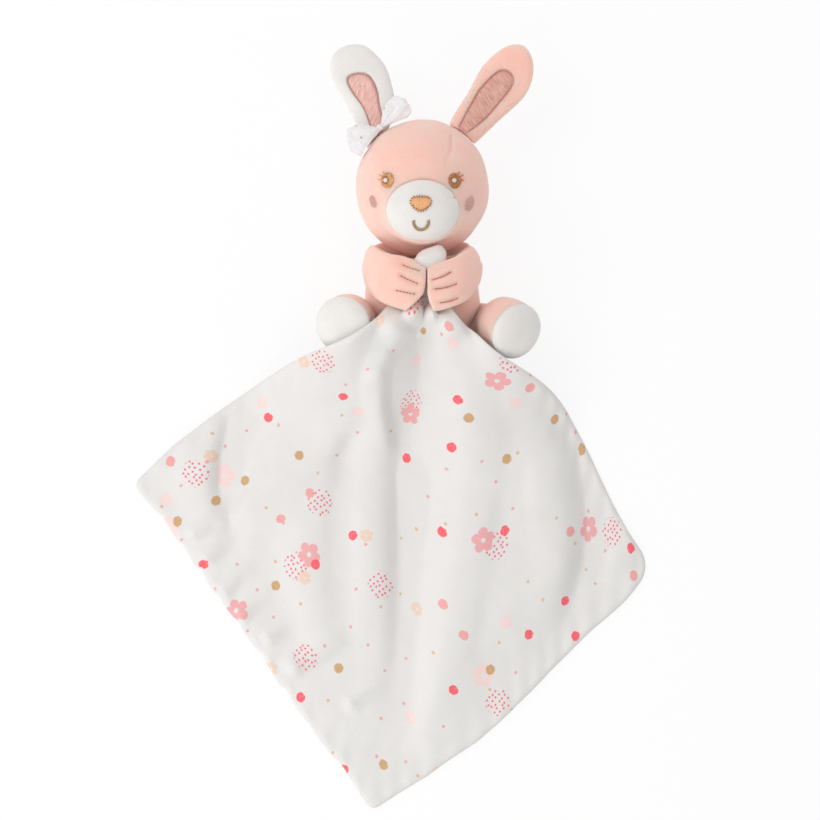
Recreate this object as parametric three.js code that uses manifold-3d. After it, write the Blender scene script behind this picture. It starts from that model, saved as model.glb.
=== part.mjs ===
// A comforter: a small stuffed rabbit that holds a square blanket of two layers by one corner, on its back.
// Millimetres. Left and right are as seen from the front: +X is to the right, +Y towards the ears and
// +Z away from the table. The origin is the middle of the flat of the rabbit's back, on the table.
import * as THREE from "three";
import { mergeVertices } from "three/addons/utils/BufferGeometryUtils.js";
import Module from "manifold-3d";

const wasm = await Module();
wasm.setup();

// Cloth and clearances
const CLOTH = 1.2; // plush cover cloth
const GAP = 0.3; // between pieces that touch
const SWING_GAP = 0.6; // between pieces that move past each other
const COARSE_MARGIN = 2; // what a coarse cutting form loses between its corners
const TABLE_TRIM = 0.5; // how far a stuffed back is flattened by the table
const OVERRUN = 600; // how far a cutting solid runs past what it cuts
const THREAD = 0.8; // height of satin stitch

// Torso, a pear that lies on the table
const TORSO_WIDTH = 72;
const TORSO_HEIGHT = 54;
const TORSO_DEPTH = 44;
const TORSO_BELOW = 24.3; // from the origin down to the seat
const TORSO_LEAN = 0.82; // under 1 puts the widest place nearer to the seat
const TORSO_FULLNESS = 0.5; // below 0.5 gives a fuller outline

// Head and snout
const HEAD_WIDTH = 78.6;
const HEAD_HEIGHT = 80;
const HEAD_DEPTH = 70;
const HEAD_SINK = 4.5; // how far the head sinks onto the torso
const HEAD_NOD = 8; // degrees, the chin towards the chest
const HEAD_TURN = 25;
const SNOUT_WIDTH = 45;
const SNOUT_HEIGHT = 37;
const SNOUT_DEPTH = 32;
const SNOUT_DROP = 16; // below the middle of the head
const SNOUT_PROUD = 9; // in front of the skin of the head there
const MUZZLE_WIDTH = 42; // the sewn outline of the white panel
const MUZZLE_HEIGHT = 34.5;

// Neck: a stuffed knob of the torso in a hollow of the head, with the thread that closes the seam
const NECK_RADIUS = 10;
const NECK_BELOW_TOP = 5.3; // the middle of the knob, below the top of the torso
const NECK_HOLE_RADIUS = 5;
const SEAM_THREAD = 1;
const SEAM_RISE = 1.6; // the seam ring, above the middle of the knob

// Face embroidery
const EYE_WIDTH = 6.6;
const EYE_HEIGHT = 8.6;
const EYE_SPREAD = 39.4; // between the middles of the eyes
const EYE_RISE = 1.8; // above the middle of the head
const GLINT_WIDTH = 2.5;
const GLINT_HEIGHT = 3.2;
const GLINT_SHIFT = 0.7; // towards the left in both eyes
const LASH_LENGTH = 1.7;
const LASH_WIDTH = 1;
const LASH_TURNS = [12, 48]; // degrees above the outer corner of the eye
const NOSE_WIDTH = 11.5;
const NOSE_HEIGHT = 8.4;
const NOSE_RISE = 2.6; // above the middle of the muzzle panel
const MOUTH_RADIUS = 4.4;
const MOUTH_WIDTH = 1.7;
const MOUTH_DROP = 7.2; // below the middle of the muzzle panel
const CHEEK_WIDTH = 5.4;
const CHEEK_HEIGHT = 8;
const CHEEK_SPREAD = 56;
const CHEEK_DROP = 11.2; // below the middle of the head

// Ears. The seat is the place on the head, in degrees from its top, and lean is the way that the ear points.
const EAR_DEPTH = 6.4;
const EAR_WIDEST = 0.62; // the share of its length where an ear is widest
const EAR_FULLNESS = 0.5; // below 1 makes it widen early
const EAR_ROUNDNESS = 8; // how far along the tip starts to close
const EAR_BLUNTNESS = 6; // how square its thickness ends
const LINING_START = 1.5; // above the foot of the ear
const LINING_SHARE = 0.7; // of the ear's length
const LINING_WIDTH = 15;
const EAR_BACK = 28; // degrees, down to the table
const EARS = {
  left: { seat: -39.5, lean: -18, bend: 2.2, forward: 8, length: 54, footWidth: 15.5, width: 32.5 },
  right: { seat: 37, lean: 36.5, bend: 0.7, forward: 60, length: 60, footWidth: 19.5, width: 30 },
};

// Bow on the left ear
const BOW_KNOT_RADIUS = 3;
const BOW_RISE = 1.2; // the knot, above the foot of the ear
const BOW_SHIFT = 2.9; // and to the right of its middle
const BOW_LOOP_DEPTH = 6;
const BOW_PLEATS = 4;
const BOW_PLEAT_DEPTH = 1;
const BOW_LEAN = 1.6; // over 1 puts the widest place near the end of a loop
const BOW_FULLNESS = 0.6;
// A loop points turn degrees round from +X, and rise degrees up from the table.
const BOW_LOOPS = {
  bow_upper_loop: { turn: 50, rise: 0, length: 19, width: 15 },
  bow_lower_loop: { turn: 208, rise: 16, length: 19, width: 19 },
};

// Arms: from the shoulder round to the chest, where the hands meet over the blanket's corner
const ARM_WIDTH = 31; // along the body
const ARM_DEPTH = 15.5; // through the sleeve
const ARM_BLUNTNESS = 7; // how square a hand ends
const SHOULDER_SPREAD = 42;
const SHOULDER_RISE = 18;
const ELBOW_SPREAD = 55;
const HAND_RISE = 4.2;
const HAND_FRONT = 57; // the middle of the hands, above the table
const FINGER_THREAD = 0.9;
const FINGER_LENGTH = 11.5;
const FINGER_PITCH = 7.4;
const FINGER_START = 3; // from the fingertips
const FINGER_SLOPE = 19; // degrees, of the upper line

// Legs: each turns on a stuffed ball in the side of the torso
const LEG_RADIUS = 12.5;
const FOOT_RADIUS = 17;
const HIP_RADIUS = 12;
const HIP_HOLE_RADIUS = 6;
const HIP_SPREAD = 54;
const HIP_DROP = 13;
const FOOT_SPREAD = 104.5;
const FOOT_DROP = 19.4;
const FOOT_RISE = 52; // the middle of a sole, above the table
const SOLE_DEPTH = 6; // the cap of white cloth at the end of a foot
const FOOT_TILT = 12; // degrees that a foot points downwards
const SOLE_TILT = 20; // degrees that a sole is sewn in facing downwards
const SOLE_TURN = 33; // and outwards
const LEG_SPLAY = 14; // degrees outwards
const LEG_BLUNTNESS = 4; // how square a foot ends
const SHIN_SHARES = { start: 0.3, end: 0.5 }; // of a leg's length, where the root widens into the shin
const FOOT_SHARES = { start: 0.4, end: 0.7 }; // and the shin into the foot
const FEET = {
  left: { side: -1, shift: 3.2, turn: 21 },
  right: { side: 1, shift: 3.2, turn: 27 },
};

// Blanket: two layers cut square, gathered in the hands by one corner
const BLANKET_SIDE = 250;
const LAYER = 1.2;
const NEAR_CORNER_RADIUS = 6;
const RIGHT_CORNER_RADIUS = 14;
const TIP_SHIFT = 4.3; // the held corner, to the right of the middle
const TIP_RISE = 29.9;
const GRIP_DROP = 11.3; // where the blanket hangs from the hands, below the origin
const GRIP_HEIGHT = 46.2;
const DIAGONAL_TURN = 5.9; // degrees, of the blanket's diagonal to the left
const DIAGONAL_SKEW = 2.4; // degrees that both side edges lie further left
const BEND_OUT = 7; // degrees that the right side edge bows out
const BEND_REACH = { start: 42, full: 72, less: 130, end: 250 }; // from the tip, along that edge
const DESCENT = 108; // from the grip to where the cloth lies on the table
const FOOT_SLOPE = 42; // degrees, of the cloth down from a foot
const FOOT_CLEARANCE = 5.5; // from a foot to the middle of the cloth over it
const FOLD_HEIGHT = 7;
const FOLD_LENGTH = 70; // from the grip to where the folds are highest
const GATHER_LENGTH = 46; // over which the gathered cloth spreads out
const CORNER_WIDTHS = { start: 42, middle: 14, end: 24 }; // of the held corner
const CORNER_DEPTHS = { start: 3.8, middle: 3.4, end: 15 };
const CORNER_RISE = 9; // its tip, above the grip
const CORNER_BLUNTNESS = 4; // how square it ends

// Folds that run out from the grip. Degrees from the diagonal, to the left, near the grip and far from it.
const FOLDS = [
  { near: 40, far: 34, width: 10, heightShare: 0.45, reachShare: 0.8 },
  { near: 19, far: 4, width: 8, heightShare: -0.95, reachShare: 0.75 },
  { near: 4, far: -12, width: 9, heightShare: 0.9, reachShare: 0.9 },
  { near: -22, far: -30, width: 8, heightShare: -0.55, reachShare: 1.2 },
  { near: -38, far: -40, width: 7, heightShare: 0.35, reachShare: 1 },
];
const HALF_CORNER = 45; // degrees, from the diagonal to a side edge
const SPREAD_SHARE = 0.952; // of its flat angle that the cloth takes when laid out
const GATHER_SHARE = 0.36; // of the spread that the grip takes away

// Counts
const FINE_SIDES = 20;
const COARSE_SIDES = 12;
const SMALL_SIDES = 8;
const BLANKET_STEPS_OUT = 12;
const BLANKET_STEPS_ROUND = 18;
const BLANKET_CROWDING = 1.3; // over 1 puts more of the steps near the hands
const BLANKET_STEP = 5; // in which the cloth is followed

// Colour, roughness and metalness
const PINK = [0xf6c3b6, 0.9, 0];
const WHITE = [0xece8e4, 0.9, 0];
const LINING = [0xc98f88, 0.55, 0.1];
const COPPER = [0xd98b4a, 0.45, 0.2];
const GOLD = [0xb08a55, 0.5, 0.2];
const ROSE = [0xc99990, 0.6, 0.1];
const TULLE = [0xf2eef0, 0.7, 0];
const WADDING = [0xfbfaf7, 1, 0];

// Shapes and solids

const vec = (x, y, z) => new THREE.Vector3(x, y, z);
const X_AXIS = vec(1, 0, 0);
const Y_AXIS = vec(0, 1, 0);
const Z_AXIS = vec(0, 0, 1);
const radians = THREE.MathUtils.degToRad;
const degrees = THREE.MathUtils.radToDeg;
const smooth = THREE.MathUtils.smoothstep;
const mix = THREE.MathUtils.lerp;

// 1 in the middle of a form and 0 at its two ends; a larger power has blunter ends.
const blunt = (t, power) => (1 - Math.abs(2 * t - 1) ** power) ** (1 / power);

// The same for a form whose widest place lies to one side.
const pear = (t, lean, fullness) => Math.sin(Math.PI * t ** lean) ** fullness;

function indexed(places, faces) {
  const geometry = new THREE.BufferGeometry().setFromPoints(places);
  geometry.setIndex(faces);
  return geometry;
}

// A closed geometry as a solid, with its faces turned outwards.
function solid(geometry) {
  const bare = geometry.index ? geometry.toNonIndexed() : geometry.clone();
  bare.deleteAttribute("normal");
  bare.deleteAttribute("uv");
  const merged = mergeVertices(bare);
  const faces = new Uint32Array(merged.index.array);
  const places = merged.attributes.position.array;
  const made = () => new wasm.Manifold(new wasm.Mesh({ numProp: 3, vertProperties: places, triVerts: faces }));
  if (made().volume() > 0) return made();
  for (let i = 0; i < faces.length; i += 3) [faces[i + 1], faces[i + 2]] = [faces[i + 2], faces[i + 1]];
  return made();
}

function geometryOf(made) {
  const mesh = made.getMesh();
  const geometry = new THREE.BufferGeometry();
  geometry.setAttribute("position", new THREE.BufferAttribute(new Float32Array(mesh.vertProperties), 3));
  geometry.setIndex(new THREE.BufferAttribute(new Uint32Array(mesh.triVerts), 1));
  return geometry;
}

// A closed skin of rings between two end points; place(s, turn) has both from 0 to 1.
function skin(rings, sides, place) {
  const places = [place(0, 0)];
  for (let i = 1; i < rings; i++) for (let j = 0; j < sides; j++) places.push(place(i / rings, j / sides));
  places.push(place(1, 0));
  const last = places.length - 1;
  const at = (i, j) => (i === 0 ? 0 : i === rings ? last : 1 + (i - 1) * sides + (j % sides));
  const faces = [];
  for (let i = 0; i < rings; i++)
    for (let j = 0; j < sides; j++) {
      if (i > 0) faces.push(at(i, j), at(i, j + 1), at(i + 1, j));
      if (i < rings - 1) faces.push(at(i + 1, j), at(i, j + 1), at(i + 1, j + 1));
    }
  return solid(indexed(places, faces));
}

// A form that swells and tapers round a line: half(t) gives its half width and half depth there.
function stuffed({ line, across, half, rings, sides }) {
  return skin(rings, sides, (s, turn) => {
    const t = (1 - Math.cos(Math.PI * s)) / 2;
    const centre = line.getPointAt(t);
    if (s === 0 || s === 1) return centre;
    const along = line.getTangentAt(t);
    const wide = across.clone().addScaledVector(along, -across.dot(along)).normalize();
    const deep = along.clone().cross(wide);
    const [width, depth] = half(t);
    const angle = 2 * Math.PI * turn;
    return centre.addScaledVector(wide, width * Math.cos(angle)).addScaledVector(deep, depth * Math.sin(angle));
  });
}

// A line without a length at its start and its end, so that what goes round it stays inside a cover.
function shortened(line, less) {
  const cut = Math.max(less, 0) / line.getLength();
  const inside = (t) => mix(cut, 1 - cut, t);
  return { getPointAt: (t) => line.getPointAt(inside(t)), getTangentAt: (t) => line.getTangentAt(inside(t)) };
}

function ellipsoid(centre, width, height, depth, sides) {
  const geometry = new THREE.SphereGeometry(1, sides, Math.ceil((sides * 2) / 3));
  geometry.scale(width / 2, height / 2, depth / 2);
  geometry.translate(centre.x, centre.y, centre.z);
  return solid(geometry);
}

function ball(centre, radius, sides = COARSE_SIDES) {
  return ellipsoid(centre, 2 * radius, 2 * radius, 2 * radius, sides);
}

// A straight bar of an outline, from place along direction, with up as the outline's own Y.
function bar(outline, place, direction, up) {
  const options = { depth: OVERRUN, bevelEnabled: false, curveSegments: 6 };
  const geometry = new THREE.ExtrudeGeometry(outline, options);
  const z = direction.clone().normalize();
  const x = up.clone().cross(z).normalize();
  geometry.applyMatrix4(new THREE.Matrix4().makeBasis(x, z.clone().cross(x), z).setPosition(place));
  return solid(geometry);
}

// All that lies past a plane through place, on the side that normal points to.
function beyond(place, normal) {
  const square = new THREE.Shape();
  square.moveTo(-OVERRUN, -OVERRUN).lineTo(OVERRUN, -OVERRUN);
  square.lineTo(OVERRUN, OVERRUN).lineTo(-OVERRUN, OVERRUN);
  return bar(square, place, normal, Math.abs(normal.y) > Math.abs(normal.z) ? Z_AXIS : Y_AXIS);
}

function oval(width, height) {
  const shape = new THREE.Shape();
  shape.absellipse(0, 0, width / 2, height / 2, 0, 2 * Math.PI);
  return shape;
}

function hole(place, direction, radius) {
  const up = Math.abs(direction.y) > Math.abs(direction.z) ? Z_AXIS : Y_AXIS;
  return bar(oval(2 * radius, 2 * radius), place, direction, up);
}

function turned(made, axis, pivot, angle) {
  const matrix = new THREE.Matrix4()
    .makeTranslation(pivot)
    .multiply(new THREE.Matrix4().makeRotationAxis(axis, radians(angle)))
    .multiply(new THREE.Matrix4().makeTranslation(pivot.clone().negate()));
  return solid(geometryOf(made).applyMatrix4(matrix));
}

const object = new THREE.Group();

// Adds a piece, without the slivers that a cut can leave beside it.
function add(name, made, [color, roughness, metalness]) {
  const body = made.decompose().sort((a, b) => b.volume() - a.volume())[0];
  const material = new THREE.MeshStandardMaterial({ color, roughness, metalness });
  const mesh = new THREE.Mesh(geometryOf(body), material);
  mesh.geometry.computeVertexNormals();
  mesh.name = name;
  object.add(mesh);
}

const aboveTable = (lift) => beyond(vec(0, 0, lift), Z_AXIS);

// Head

const torsoTop = TORSO_HEIGHT - TORSO_BELOW;
const torsoMiddle = TORSO_DEPTH / 2 - TABLE_TRIM;
const headCentre = vec(0, torsoTop - HEAD_SINK + HEAD_HEIGHT / 2, HEAD_DEPTH / 2 - TABLE_TRIM);
const neck = vec(0, torsoTop - NECK_BELOW_TOP, (torsoMiddle + headCentre.z) / 2);

function muzzlePlace() {
  const y = headCentre.y - SNOUT_DROP;
  const skinDepth = (HEAD_DEPTH / 2) * Math.sqrt(1 - (2 * SNOUT_DROP / HEAD_HEIGHT) ** 2);
  return vec(0, y, headCentre.z + skinDepth + SNOUT_PROUD - SNOUT_DEPTH / 2);
}

const muzzle = muzzlePlace();

// The head with its snout, grown by a distance.
function headForm(grow, sides = FINE_SIDES) {
  const [width, height, depth] = [HEAD_WIDTH, HEAD_HEIGHT, HEAD_DEPTH].map((length) => length + 2 * grow);
  const snout = [SNOUT_WIDTH, SNOUT_HEIGHT, SNOUT_DEPTH].map((length) => length + 2 * grow);
  return ellipsoid(headCentre, width, height, depth, sides).add(ellipsoid(muzzle, ...snout, sides));
}

function muzzleOutline(grow) {
  const outline = oval(MUZZLE_WIDTH + 2 * grow, MUZZLE_HEIGHT + 2 * grow);
  return bar(outline, vec(muzzle.x, muzzle.y, headCentre.z), Z_AXIS, Y_AXIS);
}

function buildHead() {
  const seat = ball(neck, NECK_RADIUS + 2 * GAP + SEAM_THREAD, FINE_SIDES);
  const hollow = headForm(-CLOTH, COARSE_SIDES).intersect(aboveTable(CLOTH));
  const cover = headForm(0).intersect(aboveTable(0)).subtract(hollow).subtract(seat);
  const inFront = beyond(vec(0, 0, headCentre.z + GAP / 2), Z_AXIS);
  const behind = beyond(vec(0, 0, headCentre.z - GAP / 2), Z_AXIS.clone().negate());
  add("muzzle_panel", cover.intersect(muzzleOutline(-GAP / 2)), WHITE);
  add("head_front_panel", cover.intersect(inFront).subtract(muzzleOutline(GAP / 2)), PINK);
  add("head_back_panel", cover.intersect(behind), PINK);
  const wadding = headForm(-CLOTH - GAP, COARSE_SIDES).intersect(aboveTable(CLOTH + GAP));
  add("head_stuffing", wadding.subtract(seat), WADDING);
}

// Embroidery stands on the face: a layer of thread inside outlines seen from the front.
function embroider(name, outlines, x, y, colour, without = null) {
  const place = vec(x, y, headCentre.z);
  const bars = outlines.map((outline) => bar(outline, place, Z_AXIS, Y_AXIS));
  let shape = bars.reduce((all, one) => all.add(one));
  if (without) shape = shape.subtract(bar(without, place, Z_AXIS, Y_AXIS));
  add(name, headForm(GAP + THREAD).subtract(headForm(GAP)).intersect(shape), colour);
}

// A pointed lash that starts inside the eye and runs outwards from it.
function lash(side, turn) {
  const along = new THREE.Vector2(side * Math.cos(radians(turn)), Math.sin(radians(turn)));
  const edge = new THREE.Vector2((along.x * EYE_WIDTH) / 2, (along.y * EYE_HEIGHT) / 2);
  const foot = edge.clone().addScaledVector(along, -LASH_WIDTH);
  const beside = new THREE.Vector2(-along.y, along.x).multiplyScalar(LASH_WIDTH / 2);
  return new THREE.Shape([
    foot.clone().add(beside),
    foot.clone().sub(beside),
    edge.clone().addScaledVector(along, LASH_LENGTH),
  ]);
}

function buildEye(name, side) {
  const [x, y] = [(side * EYE_SPREAD) / 2, headCentre.y + EYE_RISE];
  const lashes = LASH_TURNS.map((turn) => lash(side, turn));
  const glintAt = (grow) => {
    const shape = new THREE.Shape();
    shape.absellipse(-GLINT_SHIFT, 0, GLINT_WIDTH / 2 + grow, GLINT_HEIGHT / 2 + grow, 0, 2 * Math.PI);
    return shape;
  };
  embroider(`${name}_eye`, [oval(EYE_WIDTH, EYE_HEIGHT), ...lashes], x, y, GOLD, glintAt(GAP));
  embroider(`${name}_eye_glint`, [glintAt(0)], x, y, WHITE);
}

function noseOutline() {
  const [w, h] = [NOSE_WIDTH / 2, NOSE_HEIGHT / 2];
  const shape = new THREE.Shape();
  shape.moveTo(-w, h / 3);
  shape.bezierCurveTo(-w, h, -w / 2, h, 0, h);
  shape.bezierCurveTo(w / 2, h, w, h, w, h / 3);
  shape.bezierCurveTo(w, -h / 3, w / 3, -h, 0, -h);
  shape.bezierCurveTo(-w / 3, -h, -w, -h / 3, -w, h / 3);
  return shape;
}

function smileOutline() {
  const shape = new THREE.Shape();
  shape.absarc(0, 0, MOUTH_RADIUS + MOUTH_WIDTH / 2, Math.PI, 0, false);
  shape.absarc(0, 0, MOUTH_RADIUS - MOUTH_WIDTH / 2, 0, Math.PI, true);
  return shape;
}

function buildFace() {
  for (const [name, side] of [["left", -1], ["right", 1]]) {
    buildEye(name, side);
    const cheekX = (side * CHEEK_SPREAD) / 2;
    embroider(`${name}_cheek`, [oval(CHEEK_WIDTH, CHEEK_HEIGHT)], cheekX, headCentre.y - CHEEK_DROP, ROSE);
  }
  embroider("nose", [noseOutline()], muzzle.x, muzzle.y + NOSE_RISE, COPPER);
  embroider("mouth", [smileOutline()], muzzle.x, muzzle.y - MOUTH_DROP, GOLD);
}

// Ears

function earFrame({ seat, lean }) {
  const out = vec((Math.sin(radians(seat)) * HEAD_WIDTH) / 2, (Math.cos(radians(seat)) * HEAD_HEIGHT) / 2, 0);
  const normal = vec(out.x / HEAD_WIDTH ** 2, out.y / HEAD_HEIGHT ** 2, 0).normalize();
  const foot = headCentre.clone().add(out).addScaledVector(normal, EAR_DEPTH / 2 + SWING_GAP);
  const along = vec(Math.sin(radians(lean)), Math.cos(radians(lean)), 0);
  return { foot, along, across: along.clone().cross(Z_AXIS) };
}

// 1 along most of an ear, and closing to 0 at its tip.
const roundTip = (t) => Math.sqrt(1 - Math.min(t, 1) ** EAR_ROUNDNESS);

// An ear, grown by a distance: round across its width, and of one thickness nearly all along.
function earForm(ear, grow) {
  const { foot, along, across } = earFrame(ear);
  const start = foot.clone().addScaledVector(along, -EAR_DEPTH - grow);
  const end = foot.clone().addScaledVector(along, ear.length + grow);
  const middle = start.clone().lerp(end, 1 / 2).addScaledVector(across, ear.bend);
  const line = new THREE.CatmullRomCurve3([start, middle, end]);
  const half = (t) => [
    (mix(ear.footWidth, ear.width, Math.min(t / EAR_WIDEST, 1) ** EAR_FULLNESS) / 2 + grow) * roundTip(t),
    (EAR_DEPTH / 2 + grow) * blunt(t, EAR_BLUNTNESS),
  ];
  return stuffed({ line, across, half, rings: 11, sides: COARSE_SIDES });
}

function liningOutline({ length }) {
  const [w, h] = [LINING_WIDTH / 2, length * LINING_SHARE];
  const shape = new THREE.Shape();
  shape.moveTo(-w / 3, 0);
  shape.lineTo(w / 3, 0);
  shape.bezierCurveTo(w / 2, h / 3, w * 2, h, 0, h);
  shape.bezierCurveTo(-w * 2, h, -w / 2, h / 3, -w / 3, 0);
  return shape;
}

// An ear is gathered at its foot into a knob round the place where it swings, close to the head.
function buildEar(name) {
  const ear = EARS[name];
  const frame = earFrame(ear);
  const cloth = name === "left" ? WHITE : PINK;
  const head = headForm(SWING_GAP + COARSE_MARGIN, COARSE_SIDES);
  const step = EAR_BACK / 2;
  let outer = earForm(ear, 0);
  for (let angle = -EAR_BACK; angle <= ear.forward; angle += step) {
    outer = outer.subtract(turned(head, frame.across, frame.foot, angle));
  }
  outer = outer.add(ball(frame.foot, EAR_DEPTH / 2 + SWING_GAP - GAP));
  const inFront = beyond(frame.foot.clone().addScaledVector(Z_AXIS, GAP / 2), Z_AXIS);
  const behind = beyond(frame.foot.clone().addScaledVector(Z_AXIS, -GAP / 2), Z_AXIS.clone().negate());
  add(`${name}_ear_front`, outer.intersect(inFront), cloth);
  add(`${name}_ear_back`, outer.intersect(behind), cloth);
  const seat = frame.foot.clone().addScaledVector(frame.along, LINING_START);
  const layer = earForm(ear, GAP + THREAD).subtract(earForm(ear, GAP));
  add(`${name}_ear_lining`, layer.intersect(bar(liningOutline(ear), seat, Z_AXIS, frame.along)), LINING);
}

// Bow: two pleated loops of tulle and a knot, sewn to the foot of the left ear

function bowLoop(knot, { turn: angle, rise, length, width }) {
  const flat = vec(Math.cos(radians(angle)), Math.sin(radians(angle)), 0);
  const along = flat.clone().multiplyScalar(Math.cos(radians(rise))).setZ(Math.sin(radians(rise)));
  const root = knot.clone().addScaledVector(along, BOW_KNOT_RADIUS + GAP);
  const end = root.clone().addScaledVector(along, length);
  const across = Z_AXIS.clone().cross(flat);
  return skin(6, 4 * BOW_PLEATS, (s, turn) => {
    const t = (1 - Math.cos(Math.PI * s)) / 2;
    const centre = root.clone().lerp(end, t);
    const fan = pear(t, BOW_LEAN, BOW_FULLNESS);
    const pleat = BOW_PLEAT_DEPTH * t * Math.cos(2 * Math.PI * BOW_PLEATS * turn);
    const wide = (width / 2) * fan * Math.cos(2 * Math.PI * turn);
    const deep = (BOW_LOOP_DEPTH / 2 + pleat) * fan * Math.sin(2 * Math.PI * turn);
    return s === 0 || s === 1 ? centre : centre.addScaledVector(across, wide).addScaledVector(Z_AXIS, deep);
  });
}

function buildBow() {
  const { foot, along, across } = earFrame(EARS.left);
  const front = EAR_DEPTH / 2 + THREAD + 2 * GAP;
  const knot = foot.clone().addScaledVector(along, BOW_RISE).addScaledVector(across, BOW_SHIFT);
  knot.z += front + BOW_KNOT_RADIUS;
  const head = headForm(SWING_GAP + COARSE_MARGIN, COARSE_SIDES);
  const clear = head.add(turned(head, across, foot, EARS.left.forward));
  add("bow_knot", ball(knot, BOW_KNOT_RADIUS, SMALL_SIDES).subtract(clear), TULLE);
  for (const [name, loop] of Object.entries(BOW_LOOPS)) add(name, bowLoop(knot, loop).subtract(clear), TULLE);
}

// Torso and the seam of the neck

function torsoForm(grow, sides = FINE_SIDES) {
  const line = new THREE.LineCurve3(
    vec(0, -TORSO_BELOW - grow, torsoMiddle),
    vec(0, torsoTop + grow, torsoMiddle),
  );
  const half = (t) => {
    const share = pear(t, TORSO_LEAN, TORSO_FULLNESS);
    return [(TORSO_WIDTH / 2 + grow) * share, (TORSO_DEPTH / 2 + grow) * share];
  };
  return stuffed({ line, across: X_AXIS, half, rings: sides / 2, sides });
}

// Every place that the head passes as it nods and turns, with its swing gap and a thickness of wall.
function headSwept(wall) {
  const head = headForm(SWING_GAP + COARSE_MARGIN + wall, COARSE_SIDES);
  let swept = head;
  for (const nod of [0, HEAD_NOD])
    for (const turn of [-HEAD_TURN, 0, HEAD_TURN]) {
      swept = swept.add(turned(turned(head, X_AXIS, neck, nod), Y_AXIS, neck, turn));
    }
  return swept;
}

const hip = (side) => vec((side * HIP_SPREAD) / 2, -HIP_DROP, torsoMiddle);
const hipBall = (side, grow, sides = FINE_SIDES) => ball(hip(side), HIP_RADIUS + grow, sides);
const hipBalls = (grow, sides) => hipBall(-1, grow, sides).add(hipBall(1, grow, sides));

function seamRing(grow) {
  const outward = NECK_RADIUS + GAP + SEAM_THREAD / 2;
  const radius = Math.sqrt(outward ** 2 - SEAM_RISE ** 2);
  const geometry = new THREE.TorusGeometry(radius, SEAM_THREAD / 2 + grow, 5, FINE_SIDES);
  geometry.rotateX(Math.PI / 2);
  geometry.translate(neck.x, neck.y + SEAM_RISE, neck.z);
  return solid(geometry);
}

// The torso without a thickness all round, with its knob and without what the head and the legs need.
function torsoLess(less, sides) {
  const clear = headSwept(less).add(seamRing(GAP + less));
  const open = torsoForm(-less, sides).subtract(clear).add(ball(neck, NECK_RADIUS - less));
  return open.subtract(hipBalls(SWING_GAP + less, sides)).intersect(aboveTable(less));
}

function buildTorso() {
  const cover = torsoLess(0, FINE_SIDES).subtract(torsoLess(CLOTH, COARSE_SIDES));
  add("torso_cover", cover.subtract(hole(neck, Y_AXIS, NECK_HOLE_RADIUS)), PINK);
  add("torso_stuffing", torsoLess(CLOTH + GAP, COARSE_SIDES), WADDING);
  add("neck_seam", seamRing(0), PINK);
}

// Arms

function armForm(side, grow, sides = COARSE_SIDES) {
  const shoulder = vec((side * SHOULDER_SPREAD) / 2, SHOULDER_RISE, torsoMiddle);
  const elbow = vec((side * ELBOW_SPREAD) / 2, SHOULDER_RISE, (torsoMiddle + HAND_FRONT) / 2);
  const wrist = vec((side * ELBOW_SPREAD) / 3, (SHOULDER_RISE + HAND_RISE) / 2, HAND_FRONT - ARM_DEPTH / 6);
  const hand = vec((side * GAP) / 2, HAND_RISE, HAND_FRONT);
  const line = new THREE.CatmullRomCurve3([shoulder, elbow, wrist, hand]);
  const half = (t) => [ARM_WIDTH, ARM_DEPTH].map((size) => (size / 2 + grow) * blunt(t, ARM_BLUNTNESS));
  const form = stuffed({ line: shortened(line, -grow), across: Y_AXIS, half, rings: 11, sides });
  return form.intersect(beyond(vec(side * (GAP / 2 - grow), 0, 0), X_AXIS.clone().multiplyScalar(side)));
}

function fingerLine(side, row) {
  const [x, y] = [side * FINGER_START, HAND_RISE + (1 - row) * FINGER_PITCH];
  const slope = radians((FINGER_SLOPE * (2 - row)) / 2);
  const [dx, dy] = [side * FINGER_LENGTH * Math.cos(slope), FINGER_LENGTH * Math.sin(slope)];
  const shape = new THREE.Shape();
  shape.moveTo(x, y - FINGER_THREAD / 2).lineTo(x + dx, y + dy - FINGER_THREAD / 2);
  shape.lineTo(x + dx, y + dy + FINGER_THREAD / 2).lineTo(x, y + FINGER_THREAD / 2);
  return bar(shape, vec(0, 0, HAND_FRONT), Z_AXIS, Y_AXIS);
}

// A sleeve is open where it is sewn to the torso.
function buildArm(name, side) {
  const torso = torsoForm(GAP);
  const inner = (less) => armForm(side, -less, SMALL_SIDES).subtract(headSwept(less));
  const outer = armForm(side, 0).subtract(torso).subtract(headSwept(0));
  add(`${name}_arm_cover`, outer.subtract(inner(CLOTH)), PINK);
  add(`${name}_arm_stuffing`, inner(CLOTH + GAP).subtract(torso), WADDING);
  const layer = armForm(side, GAP + FINGER_THREAD / 2).subtract(armForm(side, GAP));
  for (const row of [0, 1, 2]) {
    add(`${name}_finger_line_${row + 1}`, layer.intersect(fingerLine(side, row)), GOLD);
  }
}

// Legs

function legLine({ side, shift, turn }) {
  const root = hip(side);
  const sole = vec((side * FOOT_SPREAD) / 2 + shift, -FOOT_DROP, FOOT_RISE);
  const facing = (down, out) =>
    vec(0, 0, 1).applyAxisAngle(X_AXIS, radians(down)).applyAxisAngle(Y_AXIS, radians(out));
  const ankle = sole.clone().addScaledVector(facing(FOOT_TILT, side * turn), -FOOT_RADIUS);
  const thigh = root.clone().lerp(vec(ankle.x, ankle.y, root.z), 1 / 2);
  const line = new THREE.CatmullRomCurve3([root, thigh, ankle, sole]);
  return { root, ankle, line, soleFacing: facing(SOLE_TILT, side * SOLE_TURN) };
}

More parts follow.
